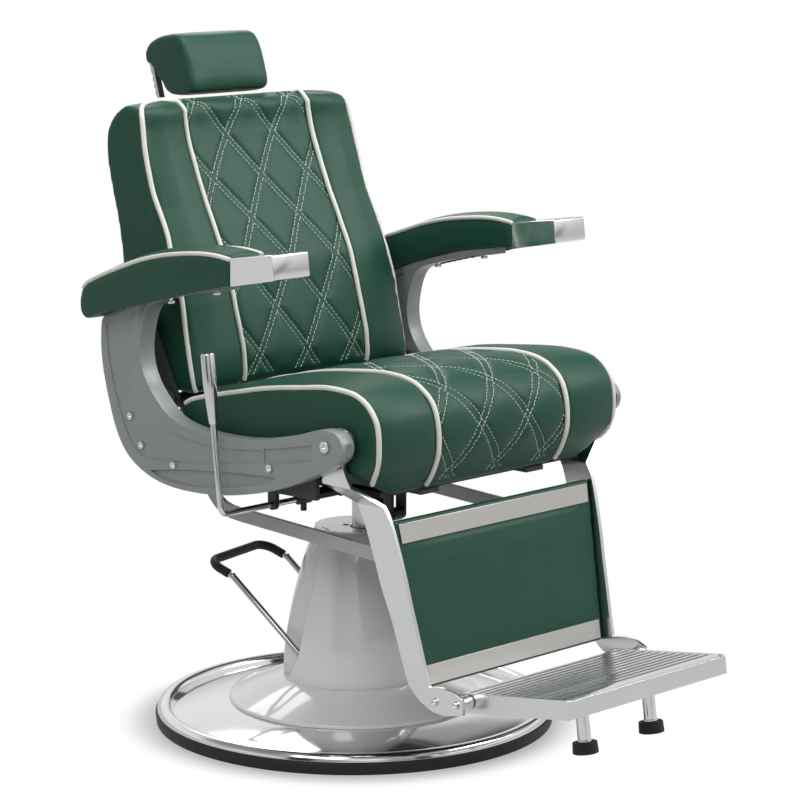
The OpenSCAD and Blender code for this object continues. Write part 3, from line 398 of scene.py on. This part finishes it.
LEATHER_GREEN = green_leather()
PIPING = piping_vinyl()
THREAD = silver_thread()
ENAMEL = frame_enamel()
LINK_ENAMEL = link_enamel()
GLOSS_WHITE = white_gloss()
CHROME = polished_metal("chrome_plate", (0.70, 0.705, 0.71), 0.09, 0.05)
POLISHED = polished_metal("polished_aluminium", (0.74, 0.75, 0.75), 0.20, 0.08, 0.08, (300.0, 300.0, 24.0))
CAST_BRIGHT = polished_metal("footplate_aluminium", (0.70, 0.71, 0.71), 0.21, 0.1, 0.1, (20.0, 500.0, 500.0), 0.05)
STRIP = polished_metal("brushed_strip", (0.62, 0.605, 0.58), 0.32, 0.03, 0.05, (10.0, 900.0, 900.0), 0.01)
CAP_CHROME = polished_metal("cap_chrome", (0.92, 0.925, 0.92), 0.13, 0.05)
SPUN = polished_metal("spun_base", (0.70, 0.705, 0.71), 0.09, 0.06, 0.06)
STEEL = polished_metal("bright_steel", (0.55, 0.56, 0.57), 0.22, 0.1, 0.1)
DARK_CHROME = polished_metal("dark_chrome", (0.42, 0.43, 0.44), 0.12, 0.08, 0.1)
RUBBER = moulded_rubber()
BLACK_IRON = black_iron("black_iron", (0.018, 0.018, 0.02), 0.42)
DARK_STEEL = black_iron("dark_steel", (0.05, 0.052, 0.056), 0.4)
PLY = ply_darkened_as_painted_shade()

FINISH_OF_SLOT = {
    "green_leather": LEATHER_GREEN, "grey_paint": ENAMEL, "white_paint": GLOSS_WHITE, "dark_steel": DARK_STEEL,
    "structural_steel": DARK_STEEL, "polished_aluminium": POLISHED, "brushed_strip": STRIP, "chrome": CHROME,
    "bright_steel": STEEL, "rubber": RUBBER, "plywood": PLY, "cast_iron": BLACK_IRON}

SLOT_OF = {name: node.data.materials[0].name.split(".")[0] if node.data.materials else "dark_steel"
           for name, node in nodes_of_chair.items()}


def paint_frame_nodes():
    """Every frame node gets the finish of its slot."""
    for name, node in nodes_of_chair.items():
        finish = FINISH_OF_SLOT.get(SLOT_OF[name], DARK_STEEL)
        for place in node.material_slots:
            place.material = finish
        if not node.material_slots:
            node.data.materials.append(finish)


paint_frame_nodes()


# ---------- upholstery ----------

def evened(thing, moves, rounds):
    """Spreads each point's move over its neighbours, so that a cover stays taut."""
    ends = np.zeros(len(thing.data.edges) * 2, dtype=int)
    thing.data.edges.foreach_get("vertices", ends)
    start, stop = ends.reshape(-1, 2).T
    count = np.maximum(np.bincount(ends, minlength=len(moves)), 1)
    for _ in range(rounds):
        for axis in range(3):
            line = moves[:, axis]
            total = (np.bincount(start, weights=line[stop], minlength=len(line))
                     + np.bincount(stop, weights=line[start], minlength=len(line)))
            moves[:, axis] = (line + total / count) / 2
    return moves


FULL_LIFT = 0.85
CLOTH_SHARE = 0.4
CLOTH_STEPS = 20


def puffed(node, name, voxel, inset, cap, rounds, held):
    """A stuffed cover: the form drawn in, blown up as cloth, and subdivided. It keeps most of the plain
    lift back to the form's size, and takes a share of what the cloth moved, up to cap.
    held says which points lie on something and stay."""
    pad = copy_of(node, name)
    bpy.ops.object.mode_set(mode="EDIT")
    bpy.ops.mesh.select_all(action="SELECT")
    bpy.ops.transform.shrink_fatten(value=-inset * MM)
    bpy.ops.object.mode_set(mode="OBJECT")
    pad.data.remesh_voxel_size = voxel * MM
    bpy.ops.object.voxel_remesh()
    bpy.ops.object.mode_set(mode="EDIT")
    bpy.ops.mesh.select_all(action="SELECT")
    bpy.ops.mesh.vertices_smooth(factor=0.5, repeat=rounds)
    bpy.ops.object.mode_set(mode="OBJECT")
    start = points(pad)
    lift = outward(pad) * inset * MM
    pinned = pad.vertex_groups.new(name="held")
    pinned.add([int(i) for i in np.nonzero(held(start))[0]], 1.0, "REPLACE")
    cloth = pad.modifiers.new("Cloth", "CLOTH")
    cloth.settings.use_pressure = True
    cloth.settings.uniform_pressure_force = 4.0
    cloth.settings.vertex_group_mass = "held"
    cloth.settings.effector_weights.gravity = 0.0
    cloth.settings.quality = 4
    for step in range(1, CLOTH_STEPS + 1):
        scene.frame_set(step)
    bpy.ops.object.modifier_apply(modifier=cloth.name)
    scene.frame_set(1)
    move = points(pad) - start
    length = np.linalg.norm(move, axis=1, keepdims=True)
    move *= np.minimum(1.0, cap * MM / np.maximum(length, 1e-9))
    put_points(pad, start + lift * FULL_LIFT + evened(pad, move, 30) * CLOTH_SHARE)
    pad.vertex_groups.clear()
    finish_modifier(pad, "SUBSURF", levels=1, render_levels=1)
    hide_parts(node)
    return pad


def along(profile, spots):
    """How far along a side profile each point lies, and its distance from it, in metres."""
    line = np.array(profile) * MM
    best = np.full(len(spots), 1e9)
    where = np.zeros(len(spots))
    run = 0.0
    for a, b in zip(line[:-1], line[1:]):
        d = b - a
        size = float(np.linalg.norm(d))
        t = np.clip(((spots[:, 1:] - a) @ d) / (size * size), 0, 1)
        gap = np.linalg.norm(spots[:, 1:] - (a + t[:, None] * d), axis=1)
        nearer = gap < best
        best[nearer] = gap[nearer]
        where[nearer] = run + t[nearer] * size
        run += size
    return where, best


def at_run(profile, v):
    """The point of a side profile after the run v, in metres."""
    line = np.array(profile) * MM
    for a, b in zip(line[:-1], line[1:]):
        size = float(np.linalg.norm(b - a))
        if v <= size:
            return a + (b - a) * (v / size)
        v -= size
    return line[-1]


def run_of(profile):
    line = np.array(profile) * MM
    return float(sum(np.linalg.norm(b - a) for a, b in zip(line[:-1], line[1:])))


ROW_GAP = 4.75 * MM
STITCH_HALF = 2.7


class Quilt:
    """A lattice of double-stitched lines on a panel of a side profile. The lines cross every across x down;
    first is the run of a crossing on the middle line, and the quilting lies between start and reach."""

    def __init__(self, profile, half, across, down, first, start, reach):
        self.profile, self.half = profile, half * MM
        self.start, self.reach = start * MM, reach * MM
        self.across, self.down, self.first = across * MM, down * MM, first * MM
        self.slope = self.down / self.across
        self.size = math.hypot(1.0, self.slope)

    def press(self, pad, depth, puff, width):
        """Sinks the lines into the cover and lets the diamonds stand up between them."""
        spots, normals = points(pad), outward(pad)
        v, gap = along(self.profile, spots)
        nearest = []
        for sign in (1, -1):
            offset = (v - sign * self.slope * spots[:, 0] - self.first) / self.down
            nearest.append(np.abs(offset - np.round(offset)) * self.down / self.size)
        from_line = np.minimum(*nearest)
        row = np.abs(from_line - ROW_GAP)
        sunk = np.exp(-(row / (width * MM)) ** 2)
        stand = 1.0 - np.exp(-np.maximum(0, from_line - 4 * MM) / (13 * MM))
        edge = np.clip((self.half - 2 * MM - np.abs(spots[:, 0])) / (6 * MM), 0, 1)
        face = np.clip(1.0 - (gap - 14 * MM) / (12 * MM), 0, 1) * edge
        ends = np.clip((v - self.start) / 0.012, 0, 1) * np.clip((self.reach - v) / 0.012, 0, 1)
        rise = (-depth * sunk + puff * (stand - 0.6)) * MM * face * ends
        put_points(pad, spots + normals * rise[:, None])

    def rows(self):
        """Every stitched row as a list of (X, run) points."""
        found = []
        count = int(self.reach / self.down) + 4
        for sign in (1, -1):
            for k in range(-3, count):
                base = self.first + k * self.down
                for side in (-1, 1):
                    shift = side * ROW_GAP * self.size
                    line = []
                    x = -self.half + 3 * MM
                    while x <= self.half - 3 * MM:
                        v = base + shift + sign * self.slope * x
                        if self.start < v < self.reach:
                            line.append((x, v))
                        x += 1 * MM
                    if len(line) > 8:
                        found.append(line)
        return found


def groove(pad, profile, xs, depth, width, reach=26):
    """Draws the cover in along seams that run down a side profile at the given X."""
    spots, normals = points(pad), outward(pad)
    _, gap = along(profile, spots)
    near = np.clip(1.0 - (gap - reach * 0.6 * MM) / (reach * 0.4 * MM), 0, 1)
    for x in xs:
        pull = np.exp(-((np.abs(spots[:, 0]) - x * MM) / (width * MM)) ** 2) * near
        spots = spots - normals * (pull * depth * MM)[:, None]
    put_points(pad, spots)


def skin_of(pad):
    corners = [v.co.copy() for v in pad.data.vertices]
    return BVHTree.FromPolygons(corners, [tuple(p.vertices) for p in pad.data.polygons])


def one_stitch():
    """One raised stitch, its ends sunk in the leather: points and faces."""
    bpy.ops.object.select_all(action="DESELECT")
    bpy.ops.mesh.primitive_circle_add(vertices=6, radius=0.27 * MM, fill_type="NGON", rotation=(0, math.pi / 2, 0),
                                      location=(-STITCH_HALF * MM, 0, -0.5 * MM))
    piece = bpy.context.object
    bpy.ops.object.transform_apply(location=True, rotation=True)
    bpy.ops.object.mode_set(mode="EDIT")
    for dx, dz, grow in ((0.8, 0.55, 2.0), (1.9, 0.25, 1.12), (1.9, -0.25, 0.9), (0.8, -0.55, 0.5)):
        bpy.ops.mesh.extrude_region_move(TRANSFORM_OT_translate={"value": (dx * MM, 0, dz * MM)})
        bpy.ops.transform.resize(value=(1, grow, grow))
    bpy.ops.mesh.select_all(action="SELECT")
    bpy.ops.mesh.normals_make_consistent(inside=False)
    bpy.ops.object.mode_set(mode="OBJECT")
    shape = points(piece)
    faces = [tuple(p.vertices) for p in piece.data.polygons]
    bpy.data.objects.remove(piece)
    return shape, faces


STITCH = one_stitch()


def sew(name, pad, profile, rows, body, pitch=6.9, reach=14, longest=7):
    """Lays stitches along rows of (X, run) points on a pad's skin, and none where the skin is out of
    reach or a stitch would span a fold."""
    skin = skin_of(pad)
    shape, faces = STITCH
    spots, polys = [], []
    for row in rows:
        flat = np.array(row)
        steps = np.concatenate([[0], np.cumsum(np.linalg.norm(np.diff(flat, axis=0), axis=1))])
        s = 3.5 * MM
        while s < steps[-1] - 3.5 * MM:
            ends = []
            for d in (-STITCH_HALF, STITCH_HALF):
                x = float(np.interp(s + d * MM, steps, flat[:, 0]))
                v = float(np.interp(s + d * MM, steps, flat[:, 1]))
                y, z = at_run(profile, v)
                ends.append(skin.find_nearest(Vector((x, y, z))))
            s += pitch * MM
            if max(ends[0][3], ends[1][3]) > reach * MM or (ends[1][0] - ends[0][0]).length > longest * MM:
                continue
            ahead = (ends[1][0] - ends[0][0]).normalized()
            up = (ends[0][1] + ends[1][1]).normalized()
            over = up.cross(ahead).normalized()
            up = ahead.cross(over)
            place = (ends[0][0] + ends[1][0]) / 2
            turn = np.array([ahead, over, up])
            first = len(spots)
            spots.extend((shape @ turn + np.array(place)).tolist())
            polys.extend([tuple(i + first for i in face) for face in faces])
    mesh = bpy.data.meshes.new(name)
    mesh.from_pydata(spots, [], polys)
    mesh.update()
    thing = bpy.data.objects.new(name, mesh)
    scene.collection.objects.link(thing)
    return settle(thing, body, THREAD)


def cord_on(name, skin, path, body, radius=4.2, lift=0.5, snap=18, soften=40):
    """Piping along a path of points in millimetres: it keeps the path's curve and takes the skin's level."""
    line = np.array(path, float) * MM
    moves = np.full(line.shape, np.nan)
    for i, spot in enumerate(line):
        found, normal, _, gap = skin.find_nearest(Vector(spot))
        if gap < snap * MM:
            moves[i] = np.array(found + normal * lift * MM) - spot
    known = ~np.isnan(moves[:, 0])
    order = np.arange(len(line))
    for axis in range(3):
        moves[:, axis] = np.interp(order, order[known], moves[known, axis])
    for _ in range(soften):
        moves[1:-1] = (moves[:-2] + 2 * moves[1:-1] + moves[2:]) / 4
    line += moves
    curve = bpy.data.curves.new(name, "CURVE")
    curve.dimensions = "3D"
    curve.bevel_depth = radius * MM
    curve.bevel_resolution = 3
    curve.use_fill_caps = True
    spline = curve.splines.new("POLY")
    spline.points.add(len(line) - 1)
    for knot, spot in zip(spline.points, line):
        knot.co = (*spot, 1)
    thing = bpy.data.objects.new(name, curve)
    scene.collection.objects.link(thing)
    pick(thing)
    bpy.ops.object.convert(target="MESH")
    return settle(bpy.context.object, body, PIPING)


def finer(path, step=5.0):
    """A path of points as evenly spaced points on a smooth curve."""
    p = np.array(path, float)
    dense = []
    for i in range(len(p) - 1):
        a, b, c, d = p[max(i - 1, 0)], p[i], p[i + 1], p[min(i + 2, len(p) - 1)]
        count = max(2, int(np.linalg.norm(c - b) / step))
        for k in range(count):
            t = k / count
            dense.append(0.5 * (2 * b + (c - a) * t + (2 * a - 5 * b + 4 * c - d) * t * t
                                + (3 * b - a - 3 * c + d) * t ** 3))
    dense.append(p[-1])
    return [tuple(q) for q in dense]


# Side profiles as (Y, Z): the middle of the seat and of the back, and the piping at their sides.
SEAT_PANEL = finer([(110, 555), (99, 560), (79, 568), (52, 576), (18, 587), (-19, 595), (-54, 604), (-90, 611),
                    (-125, 616), (-158, 620), (-188, 623), (-215, 625), (-238, 625), (-258, 624), (-276, 621),
                    (-292, 616), (-306, 608), (-318, 599), (-327, 588), (-333, 575), (-337, 560), (-339, 544),
                    (-339, 526), (-337, 510), (-332, 496), (-326, 483), (-318, 470), (-309, 459)])
SEAT_EDGE = finer([(117, 545), (97, 557), (76, 564), (49, 571), (15, 579), (-21, 587), (-56, 595), (-90, 601),
                   (-124, 606), (-157, 610), (-187, 614), (-213, 616), (-236, 616), (-256, 615), (-274, 613),
                   (-289, 608), (-302, 601), (-312, 592), (-320, 582), (-326, 570), (-329, 555), (-330, 540),
                   (-330, 526), (-329, 514), (-326, 502)])
BACK_PANEL = finer([(286, 1020), (265, 1017), (254, 1014), (245, 1009), (240, 1000), (238, 982), (233, 961),
                    (226, 940), (215, 916), (204, 890), (192, 865), (180, 840), (168, 814), (158, 790),
                    (150, 769), (144, 750), (140, 732), (136, 715), (133, 699), (130, 682), (125, 661),
                    (120, 640), (115, 622), (112, 604), (109, 585), (109, 570)])
BACK_EDGE = finer([(118, 556), (122, 580), (128, 612), (137, 661), (144, 709), (151, 744), (161, 769), (168, 806),
                   (185, 842), (204, 873), (220, 911), (231, 943), (238, 970)])
ARM_TOP = finer([(-90, 806), (-57, 809), (-22, 809), (24, 805), (71, 798), (119, 787), (163, 773), (200, 760),
                 (236, 746), (254, 738), (264, 730)])
# How far the back's middle and its outer parts are sunk, and where its rear lies, at heights Z.
RECESS_AT = [560, 620, 700, 755, 800, 850, 900, 960, 1020]
RECESS = [0, 1, 6, 11, 17, 21, 22, 20, 16]
RECESS_OUTER = [0, 2, 5, 11, 15, 17, 12, 8, 5]
BACK_REAR_AT = [560, 590, 650, 742, 815, 881, 926, 960, 985, 1004, 1030]
BACK_REAR = [250, 262, 276, 290, 301, 319, 330, 331, 321, 299, 285]
DRAW_AT = [560, 780, 900, 950, 1005]
DRAW = [4, 5, 8, 10, 14]
SEAM_X = {"seat": 147, "back": 140}


def lean_back(thing):
    """Sinks the quilted middle of the back between its bolsters, and draws the top corners in."""
    spots = points(thing)
    x, y, z = (spots[:, axis] / MM for axis in range(3))
    line = np.array(BACK_PANEL)[::-1]
    front = np.interp(z, line[:, 1], line[:, 0])
    rear = np.interp(z, BACK_REAR_AT, BACK_REAR)
    facing = np.clip((rear - y) / np.maximum(rear - front, 20), 0, 1)
    side = np.clip((np.abs(x) - 115) / 80, 0, 1)
    depth = np.interp(z, RECESS_AT, RECESS) * (1 - side) + np.interp(z, RECESS_AT, RECESS_OUTER) * side
    spots[:, 1] += depth * facing * MM
    draw = np.interp(z, DRAW_AT, DRAW)
    outer = np.clip((np.abs(x) - 120) / 120, 0, 1)
    spots[:, 0] -= np.sign(x) * draw * outer * (0.35 + 0.65 * facing) * MM
    put_points(thing, spots)


def kept_within(pad, half):
    """Keeps a cover inside its width."""
    spots = points(pad)
    spots[:, 0] = np.clip(spots[:, 0], -half * MM, half * MM)
    put_points(pad, spots)


def seat():
    board_front, board_top = -288.5 * MM, 456.2 * MM
    pad = puffed("seat_cushion", "seat_cushion_cover", 6, 5, 7, 4, lambda s: (s[:, 2] < 0.47) & (s[:, 1] > -0.29))
    kept_within(pad, 274.2)
    spots = points(pad)
    above_board = spots[:, 1] > board_front
    spots[above_board, 2] = np.maximum(spots[above_board, 2], board_top)
    put_points(pad, spots)
    skin = skin_of(pad)
    seam_x = SEAM_X["seat"]
    groove(pad, SEAT_PANEL, [seam_x], 4.5, 5)
    quilt = Quilt(SEAT_PANEL, seam_x, 105, 148, 130, 12, run_of(SEAT_PANEL) / MM - 5)
    quilt.press(pad, 1.6, 3.2, 3.4)
    settle(pad, "seat", LEATHER_GREEN)
    turn_under = finer([(269, -322, 491), (268, -316, 481), (266, -309, 472), (263, -302, 465)])
    for side, sign in (("left", 1), ("right", -1)):
        seam = [(sign * seam_x, y, z) for y, z in SEAT_PANEL[3:]]
        cord_on(f"seat_seam_piping_{side}", skin, seam, "seat")
        edge = [(sign * 269.5, y, z) for y, z in SEAT_EDGE[2:]]
        edge += [(sign * x, y, z) for x, y, z in turn_under]
        cord_on(f"seat_edge_piping_{side}", skin, edge, "seat", lift=0.2)
    sew("seat_stitching", pad, SEAT_PANEL, quilt.rows(), "seat")


def back():
    pad = puffed("back_cushion", "back_cushion_cover", 6, 5, 7, 4,
                 lambda s: (s[:, 1] > 0.245) & (s[:, 2] < 0.96))
    kept_within(pad, 245.2)
    skin = skin_of(pad)
    seam_x = SEAM_X["back"]
    groove(pad, BACK_PANEL, [seam_x], 4.5, 5)
    quilt = Quilt(BACK_PANEL, seam_x, 105, 146.5, 174.6, 12, run_of(BACK_PANEL) / MM - 6)
    quilt.press(pad, 1.6, 3.2, 3.4)
    settle(pad, "back", LEATHER_GREEN)
    corner = [(242, 244, 990), (238, 251, 1002), (228, 260, 1009), (212, 270, 1014), (190, 278, 1017),
              (160, 283, 1019)]
    seam_top = [(163, 284, 1019), (152, 276, 1017), (145, 265, 1016), (141, 254, 1013)]
    pieces = []
    edge = [(-243, y, z) for y, z in BACK_EDGE] + [(-x, y, z) for x, y, z in corner]
    edge += [(x, 285, 1020) for x in range(-130, 131, 20)] + [(x, y, z) for x, y, z in corner[::-1]]
    edge += [(243, y, z) for y, z in BACK_EDGE[::-1]]
    pieces.append(cord_on("back_edge_piping", skin, finer(edge), "back", lift=0.2))
    for side, sign in (("left", 1), ("right", -1)):
        front = [(sign * seam_x, y, z) for y, z in BACK_PANEL if z < 1005]
        seam = finer([(sign * x, y, z) for x, y, z in seam_top] + front)
        pieces.append(cord_on(f"back_seam_piping_{side}", skin, seam, "back"))
    pieces.append(sew("back_stitching", pad, BACK_PANEL, quilt.rows(), "back"))
    for piece in [pad] + pieces:
        lean_back(piece)


def headrest():
    pad = puffed("headrest_pad", "headrest_cover", 4, 3, 4.5, 4, lambda s: (s[:, 2] < 1.02) & (s[:, 1] > 0.34))
    settle(pad, "headrest", LEATHER_GREEN)


def arm_pads():
    behind_cap = -92.2 * MM

    def held(spots):
        """The underside, which falls away to the rear."""
        return spots[:, 2] < 0.768 - np.maximum(0, spots[:, 1]) * 0.36

    for node, side, sign in (("arm_pad_L", "left", 1), ("arm_pad_R", "right", -1)):
        pad = puffed(node, f"arm_pad_{side}_cover", 3.4, 2.5, 4, 14, held)
        spots = points(pad)
        spots[:, 1] = np.maximum(spots[:, 1], behind_cap)
        put_points(pad, spots)
        settle(pad, "seat", LEATHER_GREEN)
        skin = skin_of(pad)
        for edge, x, up in (("outer", 349, 0), ("inner", 281, 3)):
            path = [(sign * x, y, z + up) for y, z in ARM_TOP]
            cord_on(f"arm_{edge}_piping_{side}", skin, path, "seat", radius=3.6, lift=0.6 + up / 2)


def leg_pad():
    pad = puffed("leg_pad", "leg_pad_cover", 4, 1.5, 2.5, 2, lambda s: s[:, 1] > -1)
    settle(pad, "leg_rest", LEATHER_GREEN)


seat()
back()
headrest()
arm_pads()
leg_pad()


# ---------- metal ----------

def turned(node, body, finish):
    """A turned frame node with even rings of faces, so that reflections run true."""
    thing = copy_of(node, node + "_dressed", in_rings=True)
    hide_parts(node)
    return settle(thing, body, finish, 40)


POCKET_REAR, POCKET_FRONT, POCKET_DEPTH, WEB_DEPTH = -128, -233, 5, 2.5
CASTING_EDGE = 5.5
SMALL_EDGE = 0.35


def tapered_pocket(casting, sign):
    """Lifts the long pocket's floor to the web's level at its rear end."""
    spots = points(casting)
    x, y, z = np.abs(spots[:, 0]) / MM, spots[:, 1] / MM, spots[:, 2] / MM
    floor = ((np.abs(x - x.max() + POCKET_DEPTH) < 0.05) & (y < POCKET_REAR + 0.1) & (y > POCKET_FRONT - 0.1)
             & (z > 485) & (z < 540))
    share = np.clip((POCKET_REAR - y[floor]) / (POCKET_REAR - POCKET_FRONT), 0, 1)
    spots[floor, 0] += sign * (POCKET_DEPTH - WEB_DEPTH) * MM * (1 - share)
    put_points(casting, spots)


def side_casting(letter, sign):
    """The C-shaped casting: broad rounding on its outline, little on its pockets, and a slot in the nose."""
    node = f"side_frame_{letter}"
    thing = copy_of(node, node + "_dressed")
    tapered_pocket(thing, sign)
    bpy.ops.mesh.primitive_cube_add(size=1)
    cutter = bpy.context.object
    cutter.scale = (0.011, 0.012, 0.019)
    cutter.location = (sign * 0.303, -0.3035, 0.534)
    finish_modifier(thing, "BOOLEAN", operation="DIFFERENCE", object=cutter, solver="EXACT")
    bpy.data.objects.remove(cutter)
    thing.data.attributes.new("bevel_weight_edge", "FLOAT", "EDGE")
    mesh = bmesh.new()
    mesh.from_mesh(thing.data)
    mesh.edges.ensure_lookup_table()
    layer = mesh.edges.layers.float["bevel_weight_edge"]
    outer = max(abs(v.co.x) for v in mesh.verts)
    for edge in mesh.edges:
        if len(edge.link_faces) != 2 or edge.calc_face_angle(0) < math.radians(32):
            continue
        at_face = all(abs(v.co.x) > outer - 0.0003 for v in edge.verts)
        rim = any(abs(f.normal.x) < 0.3 and f.calc_area() > 0.0001 for f in edge.link_faces)
        edge[layer] = 1.0 if at_face and rim else SMALL_EDGE
    mesh.to_mesh(thing.data)
    mesh.free()
    finish_modifier(thing, "BEVEL", width=CASTING_EDGE * MM, segments=3, limit_method="WEIGHT")
    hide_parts(node)
    return settle(thing, "seat", ENAMEL, 40)


for letter, side, sign in (("L", "left", 1), ("R", "right", -1)):
    side_casting(letter, sign)
    rounded(f"arm_cap_{letter}", "seat", 1.2, CAP_CHROME)
    rounded(f"leg_arm_{letter}", "leg_rest", 1.2)
    rounded(f"link_bar_{letter}", f"link_{side}", 0.8, LINK_ENAMEL)
    rounded(f"glide_{letter}", f"glide_{side}", 0.8)
    rounded(f"glide_pad_{letter}", f"glide_{side}", 1.5)
rounded("footplate", "footplate", 0.5, CAST_BRIGHT, 1, smooth=18)
rounded("column_cover", "base", 1.5, angle=40, smooth=40)
turned("column_dish", "base", GLOSS_WHITE)
turned("base_disc", "base", SPUN)
rounded("pedal_frame", "pedal", 0.8, DARK_CHROME, smooth=35)
rounded("recline_lever", "lever", 0.6, smooth=35)
rounded("lever_grip", "lever", 0.6, smooth=35)
for body, width, names in (
        ("base", 0.8, ("rubber_rim", "cover_cap")),
        ("pedal", 1.0, ("pedal_grip", "pedal_shaft")),
        ("lift", 0.6, ("ram",)),
        ("headrest", 0.4, ("headrest_bars",)),
        ("back", 0.8, ("headrest_sockets",)),
        ("seat", 0.5, ("frame_screws", "leg_pivot_bolts", "arm_screws", "lever_hangers", "lock_barrel")),
        ("leg_rest", 0.5, ("leg_screws", "panel_strips", "foot_hinge_pin", "leg_tie"))):
    for name in names:
        rounded(name, body, width)


# ---------- studio ----------

SKY_LEVEL = 0.42
CEILING = 0.5
HORIZON = 0.5
FLOOR_SHADE = 0.42
FLOOR_IN_METAL = 0.45
# Share of white at the base's rim: below 1 it leaves a grey ring round the base as painted shade.
FLOOR_WHITE_IN_PAINTED_SHADE = 0.35
# Dark flags between the lamps, that give bright metal its streaks: bearing in degrees, half width.
STRIPS = [(-165, 0.16), (-95, 0.10), (20, 0.2)]
STRIP_LEVEL = 0.12
LAMPS = [
    ("top_lamp", (0.3, -0.5, 3.4), (2.0, 2.0), 62),
    ("key_lamp", (-2.8, -1.2, 2.8), (1.8, 1.8), 38),
    ("front_lamp", (2.3, -2.4, 2.9), (2.0, 1.6), 62),
    ("back_lamp", (1.4, 2.4, 2.6), (1.6, 1.2), 20)]
AIM = Vector((0, -0.1, 0.55))


def mirrored_rays(tree, rays):
    return math_node(tree, "MAXIMUM", rays.outputs["Is Glossy Ray"], rays.outputs["Is Transmission Ray"])


def pale_floor():
    """A plain floor that keeps the shadow and fades to white away from the base; close round the base it is held
    grey as painted shade.
    """
    bpy.ops.object.select_all(action="DESELECT")
    bpy.ops.mesh.primitive_plane_add(size=14, location=(0, 0, 0))
    floor = bpy.context.object
    floor.name = "studio_floor"
    bpy.ops.object.mode_set(mode="EDIT")
    bpy.ops.mesh.select_all(action="SELECT")
    bpy.ops.mesh.subdivide(number_cuts=3)
    bpy.ops.object.mode_set(mode="OBJECT")
    material = bpy.data.materials.new("studio_floor")
    material.use_nodes = True
    tree = material.node_tree
    shader = tree.nodes["Principled BSDF"]
    coloured(tree, shader, (FLOOR_SHADE, FLOOR_SHADE, FLOOR_SHADE), 1.5, 0.02)
    shader.inputs["Roughness"].default_value = 0.6
    glow = add(tree, "ShaderNodeEmission")
    glow.inputs["Color"].default_value = (1, 1, 1, 1)
    glow.inputs["Strength"].default_value = 1.0
    rays = add(tree, "ShaderNodeLightPath")
    place = add(tree, "ShaderNodeTexCoord").outputs["Object"]
    reach = add(tree, "ShaderNodeVectorMath", operation="LENGTH")
    wire(tree, (place, reach.inputs[0]))
    # Near the base less white is mixed in: the floor's real shadow shows there, and the ring is greyed further as
    # painted shade.
    fade = ranged(tree, reach.outputs["Value"], (0.325, 0.40), (FLOOR_WHITE_IN_PAINTED_SHADE, 1.0))
    shown = math_node(tree, "MULTIPLY", rays.outputs["Is Camera Ray"], fade)
    share = math_node(tree, "MAXIMUM", shown,
                      math_node(tree, "MULTIPLY", mirrored_rays(tree, rays), FLOOR_IN_METAL))
    blend = add(tree, "ShaderNodeMixShader")
    out = tree.nodes["Material Output"]
    wire(tree, (share, blend.inputs["Fac"]), (shader.outputs[0], blend.inputs[1]),
         (glow.outputs[0], blend.inputs[2]), (blend.outputs[0], out.inputs["Surface"]))
    floor.data.materials.append(material)


def soft_world():
    """White behind the chair, plain soft light on it, and a shaded room in its bright metal."""
    world = bpy.data.worlds.new("studio")
    scene.world = world
    world.use_nodes = True
    tree = world.node_tree
    sky = tree.nodes["Background"]
    rays = add(tree, "ShaderNodeLightPath")
    mirrored = mirrored_rays(tree, rays)
    way = add(tree, "ShaderNodeTexCoord").outputs["Generated"]
    height = add(tree, "ShaderNodeSeparateXYZ")
    wire(tree, (way, height.inputs[0]))
    up = height.outputs["Z"]
    dim = ranged(tree, up, (0.35, 0.95), (1.0, CEILING))
    low = ranged(tree, up, (-0.05, 0.30), (HORIZON, 1.0))
    flags = ranged(tree, noise_at(tree, way, 1.3, 1.0), (0.40, 0.52), (0.45, 1.0))
    shine = math_node(tree, "MULTIPLY", math_node(tree, "MULTIPLY", dim, low), flags)
    for bearing, breadth in STRIPS:
        beside = math_node(tree, "ABSOLUTE", along_way(tree, way, bearing + 90))
        behind = math_node(tree, "LESS_THAN", along_way(tree, way, bearing), 0.0)
        off = math_node(tree, "ADD", beside, behind)
        strip = ranged(tree, off, (breadth * 0.6, breadth), (STRIP_LEVEL, 1.0))
        shine = math_node(tree, "MULTIPLY", shine, strip)
    soft = ranged(tree, up, (0.0, 1.0), (SKY_LEVEL * 0.6, SKY_LEVEL * 1.6), smooth=False)
    level = math_node(tree, "ADD", math_node(tree, "MULTIPLY", mirrored, shine),
                      math_node(tree, "MULTIPLY", math_node(tree, "SUBTRACT", 1.0, mirrored), soft))
    level = math_node(tree, "MAXIMUM", level, rays.outputs["Is Camera Ray"])
    sky.inputs["Color"].default_value = (1, 1, 1, 1)
    wire(tree, (level, sky.inputs["Strength"]))


def lamps():
    for name, place, size, power in LAMPS:
        lamp = bpy.data.lights.new(name, "AREA")
        lamp.shape = "RECTANGLE"
        lamp.size, lamp.size_y = size
        lamp.energy = power
        holder = bpy.data.objects.new(name, lamp)
        holder.location = place
        holder.rotation_euler = (AIM - Vector(place)).to_track_quat("-Z", "Y").to_euler()
        scene.collection.objects.link(holder)


pale_floor()
soft_world()
lamps()

camera = bpy.data.cameras.new("camera")
camera.lens = 133.63
camera.sensor_width = 36.0
viewer = bpy.data.objects.new("camera", camera)
viewer.location = (-3.33497, -3.40705, 1.39429)
viewer.rotation_euler = (Vector((0.0028, -0.1033, 0.5467)) - viewer.location).to_track_quat("-Z", "Y").to_euler()
scene.collection.objects.link(viewer)
scene.camera = viewer
scene.view_settings.view_transform = "Standard"
